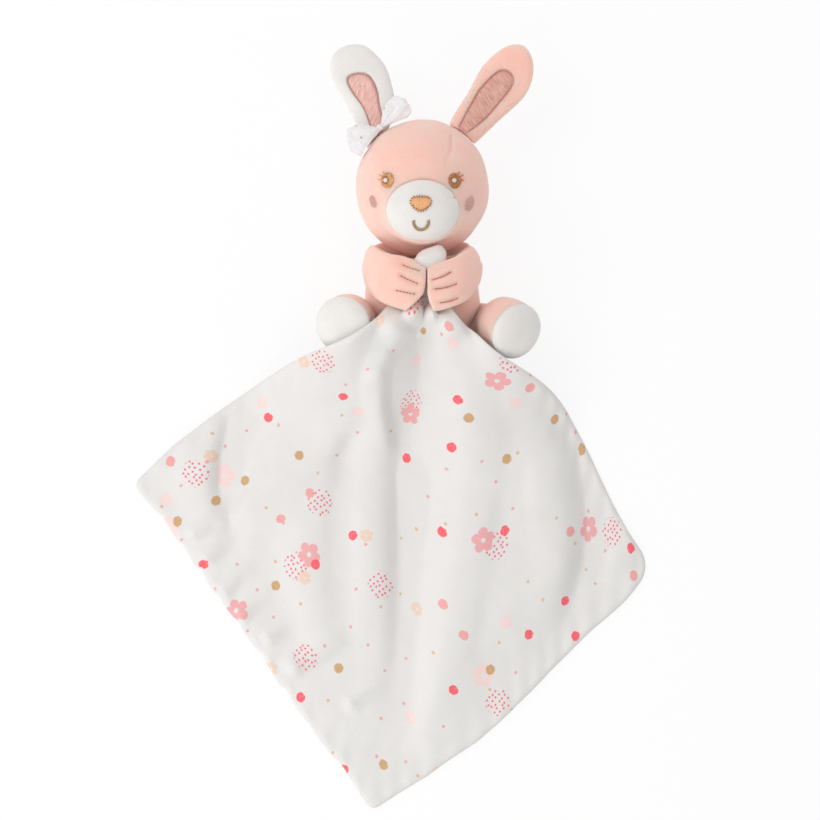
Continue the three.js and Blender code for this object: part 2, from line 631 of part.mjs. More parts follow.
// A leg round its line: thin at its root, thicker in the shin and the foot, less a thickness all round.
function legForm(place, rootRadius, less, sides) {
  const half = (t) => {
    const shin = mix(rootRadius, LEG_RADIUS - less, smooth(t, SHIN_SHARES.start, SHIN_SHARES.end));
    const foot = mix(shin, FOOT_RADIUS - less, smooth(t, FOOT_SHARES.start, FOOT_SHARES.end));
    const radius = foot * blunt(t, LEG_BLUNTNESS);
    return [radius, radius];
  };
  return stuffed({ line: shortened(legLine(place).line, less), across: Y_AXIS, half, rings: 9, sides });
}

function buildLeg(name, arms) {
  const place = FEET[name];
  const { root, ankle, soleFacing } = legLine(place);
  const still = torsoForm(SWING_GAP + COARSE_MARGIN, COARSE_SIDES).add(arms);
  const clear = still.add(turned(still, Y_AXIS, root, -place.side * LEG_SPLAY));
  const outer = legForm(place, LEG_RADIUS, 0, COARSE_SIDES).subtract(clear).add(hipBall(place.side, 0));
  const hollow = legForm(place, HIP_HOLE_RADIUS, CLOTH, SMALL_SIDES);
  const rootHole = hole(root, vec(-place.side, 0, 0), HIP_HOLE_RADIUS / 2);
  const cover = outer.subtract(hollow).subtract(rootHole);
  const toSeam = FOOT_RADIUS - SOLE_DEPTH;
  const seam = (lift) => beyond(ankle.clone().addScaledVector(soleFacing, toSeam + lift), soleFacing);
  add(`${name}_sole`, cover.intersect(seam(GAP / 2)), WHITE);
  add(`${name}_leg_cover`, cover.subtract(seam(-GAP / 2)), PINK);
  add(`${name}_leg_stuffing`, legForm(place, HIP_HOLE_RADIUS - GAP, CLOTH + GAP, SMALL_SIDES), WADDING);
}

// Blanket

const tip = vec(TIP_SHIFT, TIP_RISE, GRIP_HEIGHT);
const lyingHeight = LAYER + GAP;
const gripFromTip = TIP_RISE + GRIP_DROP;

// Rounds the far corners of the flat cloth: a place near a square corner moves onto its arc.
function rounded(across, down) {
  const corner = (x, y, radius) => {
    const [p, q] = [x - (BLANKET_SIDE - radius), y - (BLANKET_SIDE - radius)];
    if (p <= 0 || q <= 0) return [x, y];
    const share = Math.max(p, q) / Math.hypot(p, q);
    return [x - p + p * share, y - q + q * share];
  };
  const [x, y] = corner(across, down, NEAR_CORNER_RADIUS);
  const [a, flippedY] = corner(x, BLANKET_SIDE - y, RIGHT_CORNER_RADIUS);
  const [flippedA, b] = corner(BLANKET_SIDE - a, BLANKET_SIDE - flippedY, NEAR_CORNER_RADIUS);
  return [BLANKET_SIDE - flippedA, b];
}

// The height of cloth that lies on a foot: a cap round its end, then a slope down to the table.
function overFoot(x, y, place) {
  const { ankle } = legLine(place);
  const radius = FOOT_RADIUS + FOOT_CLEARANCE;
  const away = Math.hypot(x - ankle.x, y - ankle.y);
  const slope = radians(FOOT_SLOPE);
  const edge = radius * Math.sin(slope);
  if (away < edge) return ankle.z + Math.sqrt(radius ** 2 - away ** 2);
  return ankle.z + radius * Math.cos(slope) - (away - edge) * Math.tan(slope);
}

// The larger of two heights, with a soft change from one to the other.
function higher(a, b, blend) {
  const share = THREE.MathUtils.clamp((a - b) / (2 * blend) + 1 / 2, 0, 1);
  return mix(b, a, share) + blend * share * (1 - share);
}

function foldHeight(reach, bearing) {
  const far = Math.max(reach - gripFromTip, 0) / FOLD_LENGTH;
  let height = 0;
  for (const { near, far: end, width, heightShare, reachShare } of FOLDS) {
    const at = mix(near, end, smooth(far, 0, 2));
    const beside = Math.exp(-(((-bearing - at) / width) ** 2));
    height += FOLD_HEIGHT * heightShare * beside * (far / reachShare) * Math.exp(1 - far / reachShare);
  }
  return height;
}

// Where cloth lies that is reach from the tip along it, and ground from the tip as seen from above.
function draped(reach, ground, bearing) {
  const gathered = 1 - GATHER_SHARE * Math.exp(-((Math.max(reach - gripFromTip, 0) / GATHER_LENGTH) ** 2));
  const skew = DIAGONAL_SKEW * (bearing / HALF_CORNER) ** 2;
  const { start, full, less, end } = BEND_REACH;
  const bowed = smooth(reach, start, full) * (1 - smooth(reach, less, end));
  const bend = bowed * Math.max(bearing / HALF_CORNER, 0) ** 2;
  const lean = BEND_OUT * bend - DIAGONAL_TURN - skew;
  const angle = radians(bearing * SPREAD_SHARE * gathered - 90 + lean);
  const [x, y] = [tip.x + ground * Math.cos(angle), tip.y + ground * Math.sin(angle)];
  const fall = smooth(reach, gripFromTip, gripFromTip + DESCENT);
  let z = higher(mix(GRIP_HEIGHT, lyingHeight, fall) + foldHeight(reach, bearing), lyingHeight, LAYER);
  for (const place of Object.values(FEET)) z = higher(z, overFoot(x, y, place), FOLD_HEIGHT);
  return vec(x, y, z);
}

// A place on the middle of the cloth: out is the flat distance from the tip, turn the angle from the diagonal.
// The cloth keeps its length as it runs up and down, so it is followed from the grip in short steps.
function cloth(out, turn) {
  const toSides = [HALF_CORNER - turn, HALF_CORNER + turn];
  const flat = rounded(...toSides.map((angle) => out * Math.cos(radians(angle))));
  const reach = Math.hypot(...flat);
  const bearing = HALF_CORNER - degrees(Math.atan2(flat[1], flat[0]));
  const steps = Math.max(Math.ceil((reach - gripFromTip) / BLANKET_STEP), 1);
  const step = (reach - gripFromTip) / steps;
  let ground = gripFromTip;
  let place = draped(gripFromTip, ground, bearing);
  for (let i = 1; i <= steps; i++) {
    const next = draped(gripFromTip + step * i, ground + step, bearing);
    ground += step / Math.hypot(1, (next.z - place.z) / step);
    place = draped(gripFromTip + step * i, ground, bearing);
  }
  return place;
}

// One layer: the cloth between two distances from its middle.
function layer(low, high) {
  const places = [];
  const small = LAYER / 2;
  for (const lift of [high, low])
    for (let i = 0; i <= BLANKET_STEPS_OUT; i++)
      for (let j = 0; j <= BLANKET_STEPS_ROUND; j++) {
        const turn = mix(-HALF_CORNER, HALF_CORNER, j / BLANKET_STEPS_ROUND);
        const start = gripFromTip - BLANKET_STEP;
        const edge = BLANKET_SIDE / Math.cos(radians(HALF_CORNER - Math.abs(turn)));
        const out = mix(start, edge, (i / BLANKET_STEPS_OUT) ** BLANKET_CROWDING);
        const along = cloth(out + small, turn).sub(cloth(out - small, turn));
        const sideways = cloth(out, turn + 1 / 2).sub(cloth(out, turn - 1 / 2));
        places.push(cloth(out, turn).addScaledVector(along.cross(sideways).normalize(), lift));
      }
  return sheet(places, BLANKET_STEPS_OUT, BLANKET_STEPS_ROUND);
}

// A closed sheet from two grids of places, the upper one first.
function sheet(places, rows, columns) {
  const row = columns + 1;
  const under = (rows + 1) * row;
  const faces = [];
  const quad = (a, b, c, d) => faces.push(a, b, c, a, c, d);
  for (let i = 0; i < rows; i++)
    for (let j = 0; j < columns; j++) {
      const a = i * row + j;
      quad(a, a + 1, a + row + 1, a + row);
      quad(under + a, under + a + row, under + a + row + 1, under + a + 1);
    }
  for (let j = 0; j < columns; j++) {
    const end = rows * row + j;
    quad(j + 1, j, under + j, under + j + 1);
    quad(end, end + 1, under + end + 1, under + end);
  }
  for (let i = 0; i < rows; i++) {
    const [left, right] = [i * row, i * row + columns];
    quad(left, left + row, under + left + row, under + left);
    quad(right + row, right, under + right, under + right + row);
  }
  return solid(indexed(places, faces));
}

// The gathered corner in the hands: flat between the hands and the chest, with a soft tip above them.
function cornerForm() {
  const line = new THREE.CatmullRomCurve3([
    vec(tip.x / 2, -GRIP_DROP + GAP, GRIP_HEIGHT - CORNER_DEPTHS.start / 2 - GAP),
    vec(tip.x / 2, HAND_RISE, GRIP_HEIGHT),
    vec(tip.x, HAND_RISE + ARM_WIDTH / 2, GRIP_HEIGHT + CORNER_RISE),
    vec(tip.x, tip.y, GRIP_HEIGHT + CORNER_RISE),
  ]);
  const sizeAt = (t, { start, middle, end }) =>
    t < 1 / 2 ? mix(start, middle, 2 * t) : mix(middle, end, 2 * t - 1);
  const half = (t) =>
    [CORNER_WIDTHS, CORNER_DEPTHS].map((sizes) => (sizeAt(t, sizes) * blunt(t, CORNER_BLUNTNESS)) / 2);
  return stuffed({ line, across: X_AXIS, half, rings: 10, sides: COARSE_SIDES });
}

function buildBlanket() {
  const hanging = beyond(vec(0, -GRIP_DROP - GAP, 0), Y_AXIS.clone().negate());
  add("blanket_front", layer(GAP / 2, GAP / 2 + LAYER).intersect(hanging), WHITE);
  add("blanket_back", layer(-GAP / 2 - LAYER, -GAP / 2).intersect(hanging), WHITE);
  const arms = armForm(-1, GAP).add(armForm(1, GAP));
  add("blanket_corner", cornerForm().subtract(torsoForm(GAP)).subtract(arms).subtract(headSwept(0)), WHITE);
}

buildHead();
buildFace();
buildEar("left");
buildEar("right");
buildBow();
buildTorso();
buildArm("left", -1);
buildArm("right", 1);
const arms = armForm(-1, SWING_GAP).add(armForm(1, SWING_GAP));
buildLeg("left", arms);
buildLeg("right", arms);
buildBlanket();

export default object;
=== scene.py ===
"""A comforter: a stuffed rabbit on its back that holds a printed square blanket by one gathered corner.

Lengths are in millimetres in the part's own frame, +X to the right, +Y towards the ears and +Z up from
the table, and become metres when a mesh is made.
"""

import math

import bpy
import numpy as np
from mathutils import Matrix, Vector, noise


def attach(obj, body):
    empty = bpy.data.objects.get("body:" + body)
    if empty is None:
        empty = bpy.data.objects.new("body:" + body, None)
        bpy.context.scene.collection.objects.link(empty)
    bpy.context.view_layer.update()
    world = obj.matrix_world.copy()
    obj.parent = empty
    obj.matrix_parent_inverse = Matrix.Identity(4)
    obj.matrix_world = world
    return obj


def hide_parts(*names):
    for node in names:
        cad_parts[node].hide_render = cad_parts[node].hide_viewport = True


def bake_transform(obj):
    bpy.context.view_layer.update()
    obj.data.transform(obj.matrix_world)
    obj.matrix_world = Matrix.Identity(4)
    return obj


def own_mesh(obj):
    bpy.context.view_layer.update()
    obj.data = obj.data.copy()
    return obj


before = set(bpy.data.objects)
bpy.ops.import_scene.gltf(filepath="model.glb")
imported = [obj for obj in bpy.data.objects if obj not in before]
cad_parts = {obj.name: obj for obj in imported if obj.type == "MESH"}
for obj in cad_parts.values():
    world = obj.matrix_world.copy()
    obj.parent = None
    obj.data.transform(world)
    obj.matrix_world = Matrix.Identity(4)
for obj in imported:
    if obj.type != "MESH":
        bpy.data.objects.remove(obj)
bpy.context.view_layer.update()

# Camera, table and lamps: the toy lies on a white table and is seen from straight above.
# A large soft lamp stands over the left ear, a weaker one lights the chin from beyond the blanket,
# a third stands beyond the right ear, and the room fills the rest.
MM = 0.001
CAMERA_PLACE = (-7.26, -65.6, 1400)
CAMERA_LENS = 101.7
SEEN_METRES = 20
TABLE_SIZE = 6000
TABLE_WHITE = (0.93, 0.93, 0.93, 1)
TABLE_ROUGHNESS = 0.9
PLAIN_WHITE = (1, 1, 1, 1)
PLAIN_SHARE = 0.86
ROOM_LIGHT = 0.64
LIT_PLACE = (0, -60, 0)
LAMPS = (
    # name, place, size and power
    ("key_lamp", (-760, 420, 1000), 650, 4.6),
    ("fill_lamp", (-550, -850, 480), 700, 3.4),
    ("back_lamp", (420, 380, 1150), 700, 1.7),
)

camera_data = bpy.data.cameras.new("camera")
camera_data.lens = CAMERA_LENS
camera_data.clip_end = SEEN_METRES
camera = bpy.data.objects.new("camera", camera_data)
camera.location = Vector(CAMERA_PLACE) * MM
bpy.context.scene.collection.objects.link(camera)
bpy.context.scene.camera = camera
bpy.context.scene.view_settings.view_transform = "Standard"

for lamp_name, lamp_place, lamp_size, lamp_power in LAMPS:
    lamp_data = bpy.data.lights.new(lamp_name, "AREA")
    lamp_data.size = lamp_size * MM
    lamp_data.energy = lamp_power
    lamp = bpy.data.objects.new(lamp_name, lamp_data)
    lamp.location = Vector(lamp_place) * MM
    lamp.rotation_euler = (Vector(LIT_PLACE) * MM - lamp.location).to_track_quat("-Z", "Y").to_euler()
    bpy.context.scene.collection.objects.link(lamp)


def feed(tree, socket, value):
    """Gives a socket what it takes: the outcome of another node, or a plain value."""
    if isinstance(value, bpy.types.NodeSocket):
        tree.links.new(value, socket)
    else:
        socket.default_value = value


def add_node(tree, kind, inputs=(), **settings):
    """A shader node with its settings; inputs holds what its sockets take, by their names or numbers."""
    made = tree.nodes.new(f"ShaderNode{kind}")
    for setting, value in settings.items():
        setattr(made, setting, value)
    for key, value in dict(inputs).items():
        feed(tree, made.inputs[key], value)
    return made


def math_node(tree, operation, *values):
    """The outcome of a Math node."""
    return add_node(tree, "Math", enumerate(values), operation=operation).outputs[0]


def light_room(world, strength):
    """Even light from all sides, which the camera and reflections see as plain white."""
    world.use_nodes = True
    tree = world.node_tree
    tree.nodes.clear()
    rays = add_node(tree, "LightPath")
    seen = math_node(tree, "MAXIMUM", rays.outputs["Is Camera Ray"], rays.outputs["Is Glossy Ray"])
    level = add_node(tree, "MapRange", {"To Min": strength, "To Max": 1, "Value": seen})
    background = add_node(tree, "Background", {"Color": PLAIN_WHITE, "Strength": level.outputs[0]})
    add_node(tree, "OutputWorld", {"Surface": background.outputs[0]})


bpy.context.scene.world = bpy.data.worlds.new("room")
light_room(bpy.context.scene.world, ROOM_LIGHT)


def make_mesh(name, places, faces, uv=None):
    """A mesh object from places in millimetres; uv holds one pair for each place."""
    mesh = bpy.data.meshes.new(name)
    mesh.from_pydata((np.asarray(places, float) * MM).tolist(), [], faces)
    mesh.validate()
    if uv is not None:
        layer = mesh.uv_layers.new(name="flat")
        corners = np.empty(len(mesh.loops), np.int32)
        mesh.loops.foreach_get("vertex_index", corners)
        layer.data.foreach_set("uv", np.asarray(uv, np.float32)[corners].ravel())
    mesh.polygons.foreach_set("use_smooth", [True] * len(mesh.polygons))
    piece = bpy.data.objects.new(name, mesh)
    bpy.context.scene.collection.objects.link(piece)
    return piece


def table_top():
    """A white table that keeps the soft shadow of the toy, mixed with plain white for the camera."""
    half = TABLE_SIZE / 2
    corners = [(-half, -half, 0), (half, -half, 0), (half, half, 0), (-half, half, 0)]
    piece = make_mesh("table", corners, [(0, 1, 2, 3)])
    material = bpy.data.materials.new("table_white")
    material.use_nodes = True
    tree = material.node_tree
    shaded = tree.nodes["Principled BSDF"]
    shaded.inputs["Base Color"].default_value = TABLE_WHITE
    shaded.inputs["Roughness"].default_value = TABLE_ROUGHNESS
    white = add_node(tree, "Emission", {"Color": PLAIN_WHITE})
    rays = add_node(tree, "LightPath")
    share = math_node(tree, "MULTIPLY", rays.outputs["Is Camera Ray"], PLAIN_SHARE)
    mixed = add_node(tree, "MixShader", {"Fac": share, 1: shaded.outputs[0], 2: white.outputs[0]})
    feed(tree, tree.nodes["Material Output"].inputs["Surface"], mixed.outputs[0])
    piece.data.materials.append(material)
    return piece


table_top()

# Head: a ball of loose fibre in two pink panels, with a white panel sewn over the snout.
# The panels are short-pile plush, cut flat and sewn inside out, so each seam lies in a shallow groove.
HEAD_CENTRE = np.array((0, 65.2, 34.5))
HEAD_HALF = np.array((39.3, 40, 35))
SNOUT_CENTRE = np.array((0, 49.2, 59.6))
SNOUT_HALF = np.array((22.5, 18.5, 16))
SNOUT_BLEND = 5
TABLE_BLEND = 2
MUZZLE_HALF = np.array((21, 17.25))
MUZZLE_PUFF = 0.9
# the size, the height and the seed of unevennesses
HEAD_LUMPS = (16, 0.8, 0)
HEAD_DIMPLES = (6, 0.15, 1)
MUZZLE_LUMPS = (9, 0.35, 2)
SEAM_DEPTH = 0.7
SEAM_WIDTH = 1.3
MUZZLE_SEAM_DEPTH, MUZZLE_SEAM_WIDTH = 2.4, 1.1
MUZZLE_SEAM_TUCKS = (0.16, 0.5, 0.9)
FACE_DART = np.array(((17.4, 93.5), (17, 89), (16.2, 84), (13.9, 79.5), (13.2, 73)))
DART_DEPTH = 1.5
DART_WIDTH = 0.9
MUZZLE_PLEAT = np.array(((19.6, 57.2), (12.6, 54.6)))
PLEAT_DEPTH, PLEAT_WIDTH = 1.3, 0.9
# how the muzzle's panel turns in at its seam: the share of the way to the middle of the snout, and how deep
MUZZLE_TURNED_IN = ((0.02, 0.7), (0.05, 1.5), (0.3, 1.5))
HEAD_SIDES = 168
MUZZLE_RINGS = 26
HEAD_RINGS = 84
SMALLEST = 1e-9


def ellipsoid_gap(points, centre, half):
    """Distance outside an ellipsoid, below zero inside it."""
    scaled = (points - centre) / half
    size = np.linalg.norm(scaled, axis=-1)
    return size * (size - 1) / np.maximum(np.linalg.norm(scaled / half, axis=-1), SMALLEST)


def joined(a, b, blend):
    """The distance outside two forms that run into each other softly."""
    share = np.clip(0.5 + 0.5 * (b - a) / blend, 0, 1)
    return b * (1 - share) + a * share - blend * share * (1 - share)


def head_gap(points):
    """Distance outside the head, which the table presses flat below."""
    skull = ellipsoid_gap(points, HEAD_CENTRE, HEAD_HALF)
    snout = ellipsoid_gap(points, SNOUT_CENTRE, SNOUT_HALF)
    return -joined(-joined(skull, snout, SNOUT_BLEND), points[..., 2], TABLE_BLEND)


def reach(gap, start, directions, longest, halvings=26):
    """The places where rays from start leave a form, found by halving."""
    near, far = np.zeros(len(directions)), np.full(len(directions), float(longest))
    for _ in range(halvings):
        middle = (near + far) / 2
        outside = gap(start + directions * middle[:, None]) > 0
        far = np.where(outside, middle, far)
        near = np.where(outside, near, middle)
    return start + directions * ((near + far) / 2)[:, None]


def outward(gap, points, step=0.05):
    """The unit direction out of a form at points near its skin, and the steepness there."""
    slopes = [(gap(points + offset) - gap(points - offset)) / (2 * step) for offset in np.eye(3) * step]
    slope = np.stack(slopes, axis=-1)
    size = np.maximum(np.linalg.norm(slope, axis=-1, keepdims=True), SMALLEST)
    return slope / size, size[..., 0]


def face_place(x, y):
    """Places on the front of the head above x and y."""
    x, y = np.broadcast_arrays(np.asarray(x, float), np.asarray(y, float))
    flat = np.stack([x.ravel(), y.ravel(), np.full(x.size, HEAD_CENTRE[2])], axis=-1)
    up = np.tile((0.0, 0.0, 1.0), (x.size, 1))
    return reach(head_gap, flat, up, longest=60).reshape(*x.shape, 3)


def ring_faces(rings, sides, closed_start=True, closed_end=True):
    """Faces of a skin of rings with the places of each ring one after another, and a pole at a closed end."""
    faces = []
    for i in range(rings - 1):
        for j in range(sides):
            k = (j + 1) % sides
            faces.append((i * sides + j, i * sides + k, (i + 1) * sides + k, (i + 1) * sides + j))
    first, last = rings * sides, rings * sides + (1 if closed_start else 0)
    if closed_start:
        faces += [(first, (j + 1) % sides, j) for j in range(sides)]
    if closed_end:
        base = (rings - 1) * sides
        faces += [(last, base + j, base + (j + 1) % sides) for j in range(sides)]
    return faces


def ring_form(name, rings, uv=None):
    """A closed skin from an array of rings, sides and three values, with a pole at each end."""
    count, sides, _ = rings.shape
    places = np.vstack([rings.reshape(-1, 3), rings[0].mean(axis=0), rings[-1].mean(axis=0)])
    return make_mesh(name, places, ring_faces(count, sides), uv)


def away_from_line(points, line):
    """Distance from a line of points as seen from above, and how far along it from 0 to 1."""
    best, along = np.full(len(points), 1e9), np.zeros(len(points))
    for i, (a, b) in enumerate(zip(line[:-1], line[1:])):
        t = np.clip(((points[:, :2] - a) @ (b - a)) / ((b - a) @ (b - a)), 0, 1)
        away = np.linalg.norm(points[:, :2] - a - t[:, None] * (b - a), axis=1)
        along = np.where(away < best, (i + t) / (len(line) - 1), along)
        best = np.minimum(best, away)
    return best, along


def uneven(points, size, height, seed=0):
    """Soft unevenness of stuffing under cloth: a height for each place."""
    shift = Vector((seed * 7.3, seed * 3.1, seed * 5.7))
    return height * np.array([noise.noise(Vector(p) / size + shift) for p in points])


def groove(away, depth, width):
    return -depth * np.exp(-((away / width) ** 2))


def round_turn(count):
    """Even angles once round."""
    return np.linspace(0, 2 * math.pi, count, endpoint=False)


def head_skin(directions):
    """The sewn skin of the head: its form, with the seams' grooves and the dart over the right eye."""
    places = reach(head_gap, HEAD_CENTRE, directions, longest=80)
    out, _ = outward(head_gap, places)
    lift = uneven(places, *HEAD_LUMPS) + uneven(places, *HEAD_DIMPLES)
    lift += groove(places[:, 2] - HEAD_CENTRE[2], SEAM_DEPTH, SEAM_WIDTH)
    behind = places[:, 2] < HEAD_CENTRE[2]
    lift += np.where(behind, groove(places[:, 0], SEAM_DEPTH, SEAM_WIDTH), 0)
    away, along = away_from_line(places, FACE_DART)
    dart = groove(away, DART_DEPTH, DART_WIDTH) * np.clip(1.6 * (1 - along), 0, 1)
    lift += np.where(behind, 0, dart)
    return places + out * lift[:, None]


def muzzle_ring(share):
    """Places on the front of the head, round the snout at a share of the muzzle's size."""
    angles = round_turn(HEAD_SIDES)
    x = SNOUT_CENTRE[0] + MUZZLE_HALF[0] * share * np.cos(angles)
    y = SNOUT_CENTRE[1] + MUZZLE_HALF[1] * share * np.sin(angles)
    return face_place(x, y)


def build_head():
    """Rings from the seam round the muzzle to the back of the head, closed under the muzzle."""
    edge = muzzle_ring(1)
    axis = SNOUT_CENTRE - HEAD_CENTRE
    axis = axis / np.linalg.norm(axis)
    to_edge = edge - HEAD_CENTRE
    to_edge /= np.linalg.norm(to_edge, axis=1, keepdims=True)
    start = np.arccos(to_edge @ axis)
    side = to_edge - (to_edge @ axis)[:, None] * axis
    side /= np.linalg.norm(side, axis=1, keepdims=True)
    rings = [edge + (SNOUT_CENTRE - edge) * share for share in MUZZLE_SEAM_TUCKS]
    for i in range(HEAD_RINGS):
        turn = start + (math.pi - 0.02 - start) * i / (HEAD_RINGS - 1)
        directions = axis * np.cos(turn)[:, None] + side * np.sin(turn)[:, None]
        skin = head_skin(directions)
        out, _ = outward(head_gap, skin)
        away = np.linalg.norm(skin - edge, axis=1)
        rings.append(skin + out * groove(away, MUZZLE_SEAM_DEPTH, MUZZLE_SEAM_WIDTH)[:, None])
    return ring_form("head_plush", np.array(rings))


def build_muzzle():
    """A puffed panel over the snout, turned in at its seam."""
    rings = []
    for share in np.sin(np.linspace(0.03, 1, MUZZLE_RINGS) * math.pi / 2):
        skin = muzzle_ring(share)
        out, _ = outward(head_gap, skin)
        away, along = away_from_line(skin, MUZZLE_PLEAT)
        puff = MUZZLE_PUFF * (1 - share**6) + uneven(skin, *MUZZLE_LUMPS)
        puff += groove(away, PLEAT_DEPTH, PLEAT_WIDTH) * (1 - along)
        rings.append(skin + out * puff[:, None])
    edge = rings[-1]
    out, _ = outward(head_gap, edge)
    for share, depth in MUZZLE_TURNED_IN:
        rings.append(edge + (SNOUT_CENTRE - edge) * share - out * depth)
    return ring_form("muzzle_plush", np.array(rings))


def node_group(name, inputs, outputs):
    """A new shader group; inputs gives each input its first value, and outputs says what each output is."""
    group = bpy.data.node_groups.new(name, "ShaderNodeTree")
    for label, value in inputs.items():
        kind = "NodeSocketColor" if isinstance(value, tuple) else "NodeSocketFloat"
        group.interface.new_socket(label, in_out="INPUT", socket_type=kind).default_value = value
    for label, kind in outputs.items():
        group.interface.new_socket(label, in_out="OUTPUT", socket_type=f"NodeSocket{kind}")
    return group, group.nodes.new("NodeGroupInput").outputs, group.nodes.new("NodeGroupOutput").inputs


def pile_group():
    """Short pile: fine fibres, painted lighter where they stand higher as a painted highlight where they
    catch the light, and patches that lie a little differently.
    """
    group, given, out = node_group(
        "short_pile",
        {"Colour": PLAIN_WHITE, "Fibre": 1500.0, "Patch": 0.06},
        {"Colour": "Color", "Height": "Float"},
    )
    place = add_node(group, "TexCoord").outputs["Object"]
    values = {"Vector": place, "Scale": given["Fibre"], "Detail": 2, "Roughness": 0.7}
    fibre = add_node(group, "TexNoise", values)
    patch = add_node(group, "TexNoise", {"Vector": place, "Scale": 90, "Detail": 3})
    spread = math_node(group, "SUBTRACT", patch.outputs["Fac"], 0.5)
    # fleck: painted highlight on the higher fibres and painted shade between them
    fleck = math_node(group, "MULTIPLY", math_node(group, "SUBTRACT", fibre.outputs["Fac"], 0.5), 0.22)
    shade = math_node(group, "ADD", math_node(group, "MULTIPLY", spread, given["Patch"]), 1)
    shade = math_node(group, "ADD", shade, fleck)
    tinted = add_node(group, "VectorMath", {0: given["Colour"], "Scale": shade}, operation="SCALE")
    feed(group, out["Colour"], tinted.outputs[0])
    feed(group, out["Height"], fibre.outputs["Fac"])
    return group


short_pile = pile_group()


def principled(name, finish):
    """A material and its shader, with the finish that is the same all over it."""
    material = bpy.data.materials.new(name)
    material.use_nodes = True
    shader = material.node_tree.nodes["Principled BSDF"]
    for socket, value in {"Sheen Roughness": 0.45, "Specular IOR Level": 0.2, **finish}.items():
        shader.inputs[socket].default_value = value
    return material, shader


def bump(tree, height, shader, depth, strength):
    made = add_node(tree, "Bump", {"Distance": depth * MM, "Strength": strength, "Height": height})
    feed(tree, shader.inputs["Normal"], made.outputs[0])


def plush(name, colour, sheen_tint, through, spread):
    """Short-pile plush of one colour, whose pile lets light through and catches a paler sheen."""
    finish = {
        "Roughness": 0.95,
        "Sheen Weight": 0.16,
        "Sheen Tint": sheen_tint,
        "Subsurface Weight": through,
        "Subsurface Radius": spread,
        "Subsurface Scale": 10 * MM,
    }
    material, shader = principled(name, finish)
    tree = material.node_tree
    pile = add_node(tree, "Group", {"Colour": colour, "Fibre": 1500, "Patch": 0.09}, node_tree=short_pile)
    feed(tree, shader.inputs["Base Color"], pile.outputs["Colour"])
    bump(tree, pile.outputs["Height"], shader, 0.4, 0.4)
    return material


pink_plush = plush("pink_plush", (0.96, 0.61, 0.53, 1), (1, 0.80, 0.72, 1), 1.0, (1.0, 0.35, 0.25))
white_plush = plush("white_plush", (0.81, 0.785, 0.755, 1), (1, 0.98, 0.95, 1), 0.4, (0.4, 0.36, 0.34))

head = build_head()
head.data.materials.append(pink_plush)
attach(head, "head")
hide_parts("head_front_panel", "head_back_panel", "head_stuffing")

muzzle = build_muzzle()
muzzle.data.materials.append(white_plush)
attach(muzzle, "head")
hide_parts("muzzle_panel")

# Face: eyes, nose, mouth and cheek spots are satin stitch, close parallel threads of shiny yarn.
# Each thread is a strand of its own here, a little proud of the plush, with ends that dip into it.
THREAD = 0.26
RING_THREAD = 0.22
FINE_THREAD = 0.24
NOSE_THREAD = 0.27
NOSE_EDGE_THREAD = 0.33
STITCH_PITCH = 0.42
STITCH_LIFT = 0.55
STITCH_SUNK = 0.25
EYE_PLACES = {"left": (-20.3, 66.9), "right": (18.6, 66.6)}
EYE_HALF = (3.6, 4.4)
GLINT_HALF = (1.15, 1.55)
GLINT_SHIFT = -0.7
# the bearing and the length of each lash, where its root lies on the eye, and half its width there
LASHES = ((6, 2.2), (34, 2.6), (62, 2.1))
LASH_ROOT = (0.95, 0.9)
LASH_IN_EYE = -1.2
LASH_HALF_WIDTH = 0.16
NOSE_PLACE = (-1.0, 52.2)
NOSE_SHAPE = (
    ((-5.7, 1.6), (-4.6, 3.3), (-2.4, 4.1), (0, 4.3), (2.4, 4.1), (4.6, 3.3), (5.7, 1.6))
    + ((5.2, -0.6), (3.6, -2.6), (1.8, -3.9), (0, -4.4), (-1.8, -3.9), (-3.6, -2.6), (-5.2, -0.6))
)
MOUTH_PLACE = (-0.9, 42.3)
MOUTH_RADIUS = 4.1
MOUTH_HALF_WIDTH = 0.95
MOUTH_STITCHES = 38
CHEEKS = {"left": ((-28.7, 54.9), (1.8, 3.9), 18), "right": ((27.4, 53.9), (2.4, 4.3), -20)}


def strands(name, paths, radius, sides=5):
    """Round threads along paths, each an array of places, as one mesh."""
    places, faces = [], []
    angles = round_turn(sides)
    for path in paths:
        path = np.asarray(path, float)
        along = np.gradient(path, axis=0)
        along /= np.maximum(np.linalg.norm(along, axis=1, keepdims=True), SMALLEST)
        side = np.cross(along, (0.31, 0.17, 0.94))
        side /= np.maximum(np.linalg.norm(side, axis=1, keepdims=True), SMALLEST)
        up = np.cross(side, along)
        base = len(places)
        for p, s, u in zip(path, side, up):
            places += [p + radius * (math.cos(a) * s + math.sin(a) * u) for a in angles]
        places += [path[0], path[-1]]
        faces += [tuple(base + v for v in face) for face in ring_faces(len(path), sides)]
    return make_mesh(name, places, faces)


def stitch_on(surface, gap, x, y, lift, dip):
    """A thread over a surface along x and y, lifted from it in the middle and dipping in at its ends."""
    places = surface(x, y)
    out, _ = outward(gap, places)
    t = np.linspace(-1, 1, len(x))
    height = lift * (1 - np.abs(t) ** dip) - STITCH_SUNK
    return places + out * height[:, None]


def on_muzzle(x, y):
    """1 inside the muzzle panel, whose plush stands a little prouder."""
    across = (np.asarray(x) - SNOUT_CENTRE[0]) / MUZZLE_HALF[0]
    up = (np.asarray(y) - SNOUT_CENTRE[1]) / MUZZLE_HALF[1]
    return np.where(across**2 + up**2 < 0.9, 1.0, 0.0)


def on_face(x, y, lift=STITCH_LIFT, dip=5):
    return stitch_on(face_place, head_gap, x, y, lift + MUZZLE_PUFF * on_muzzle(x, y), dip)


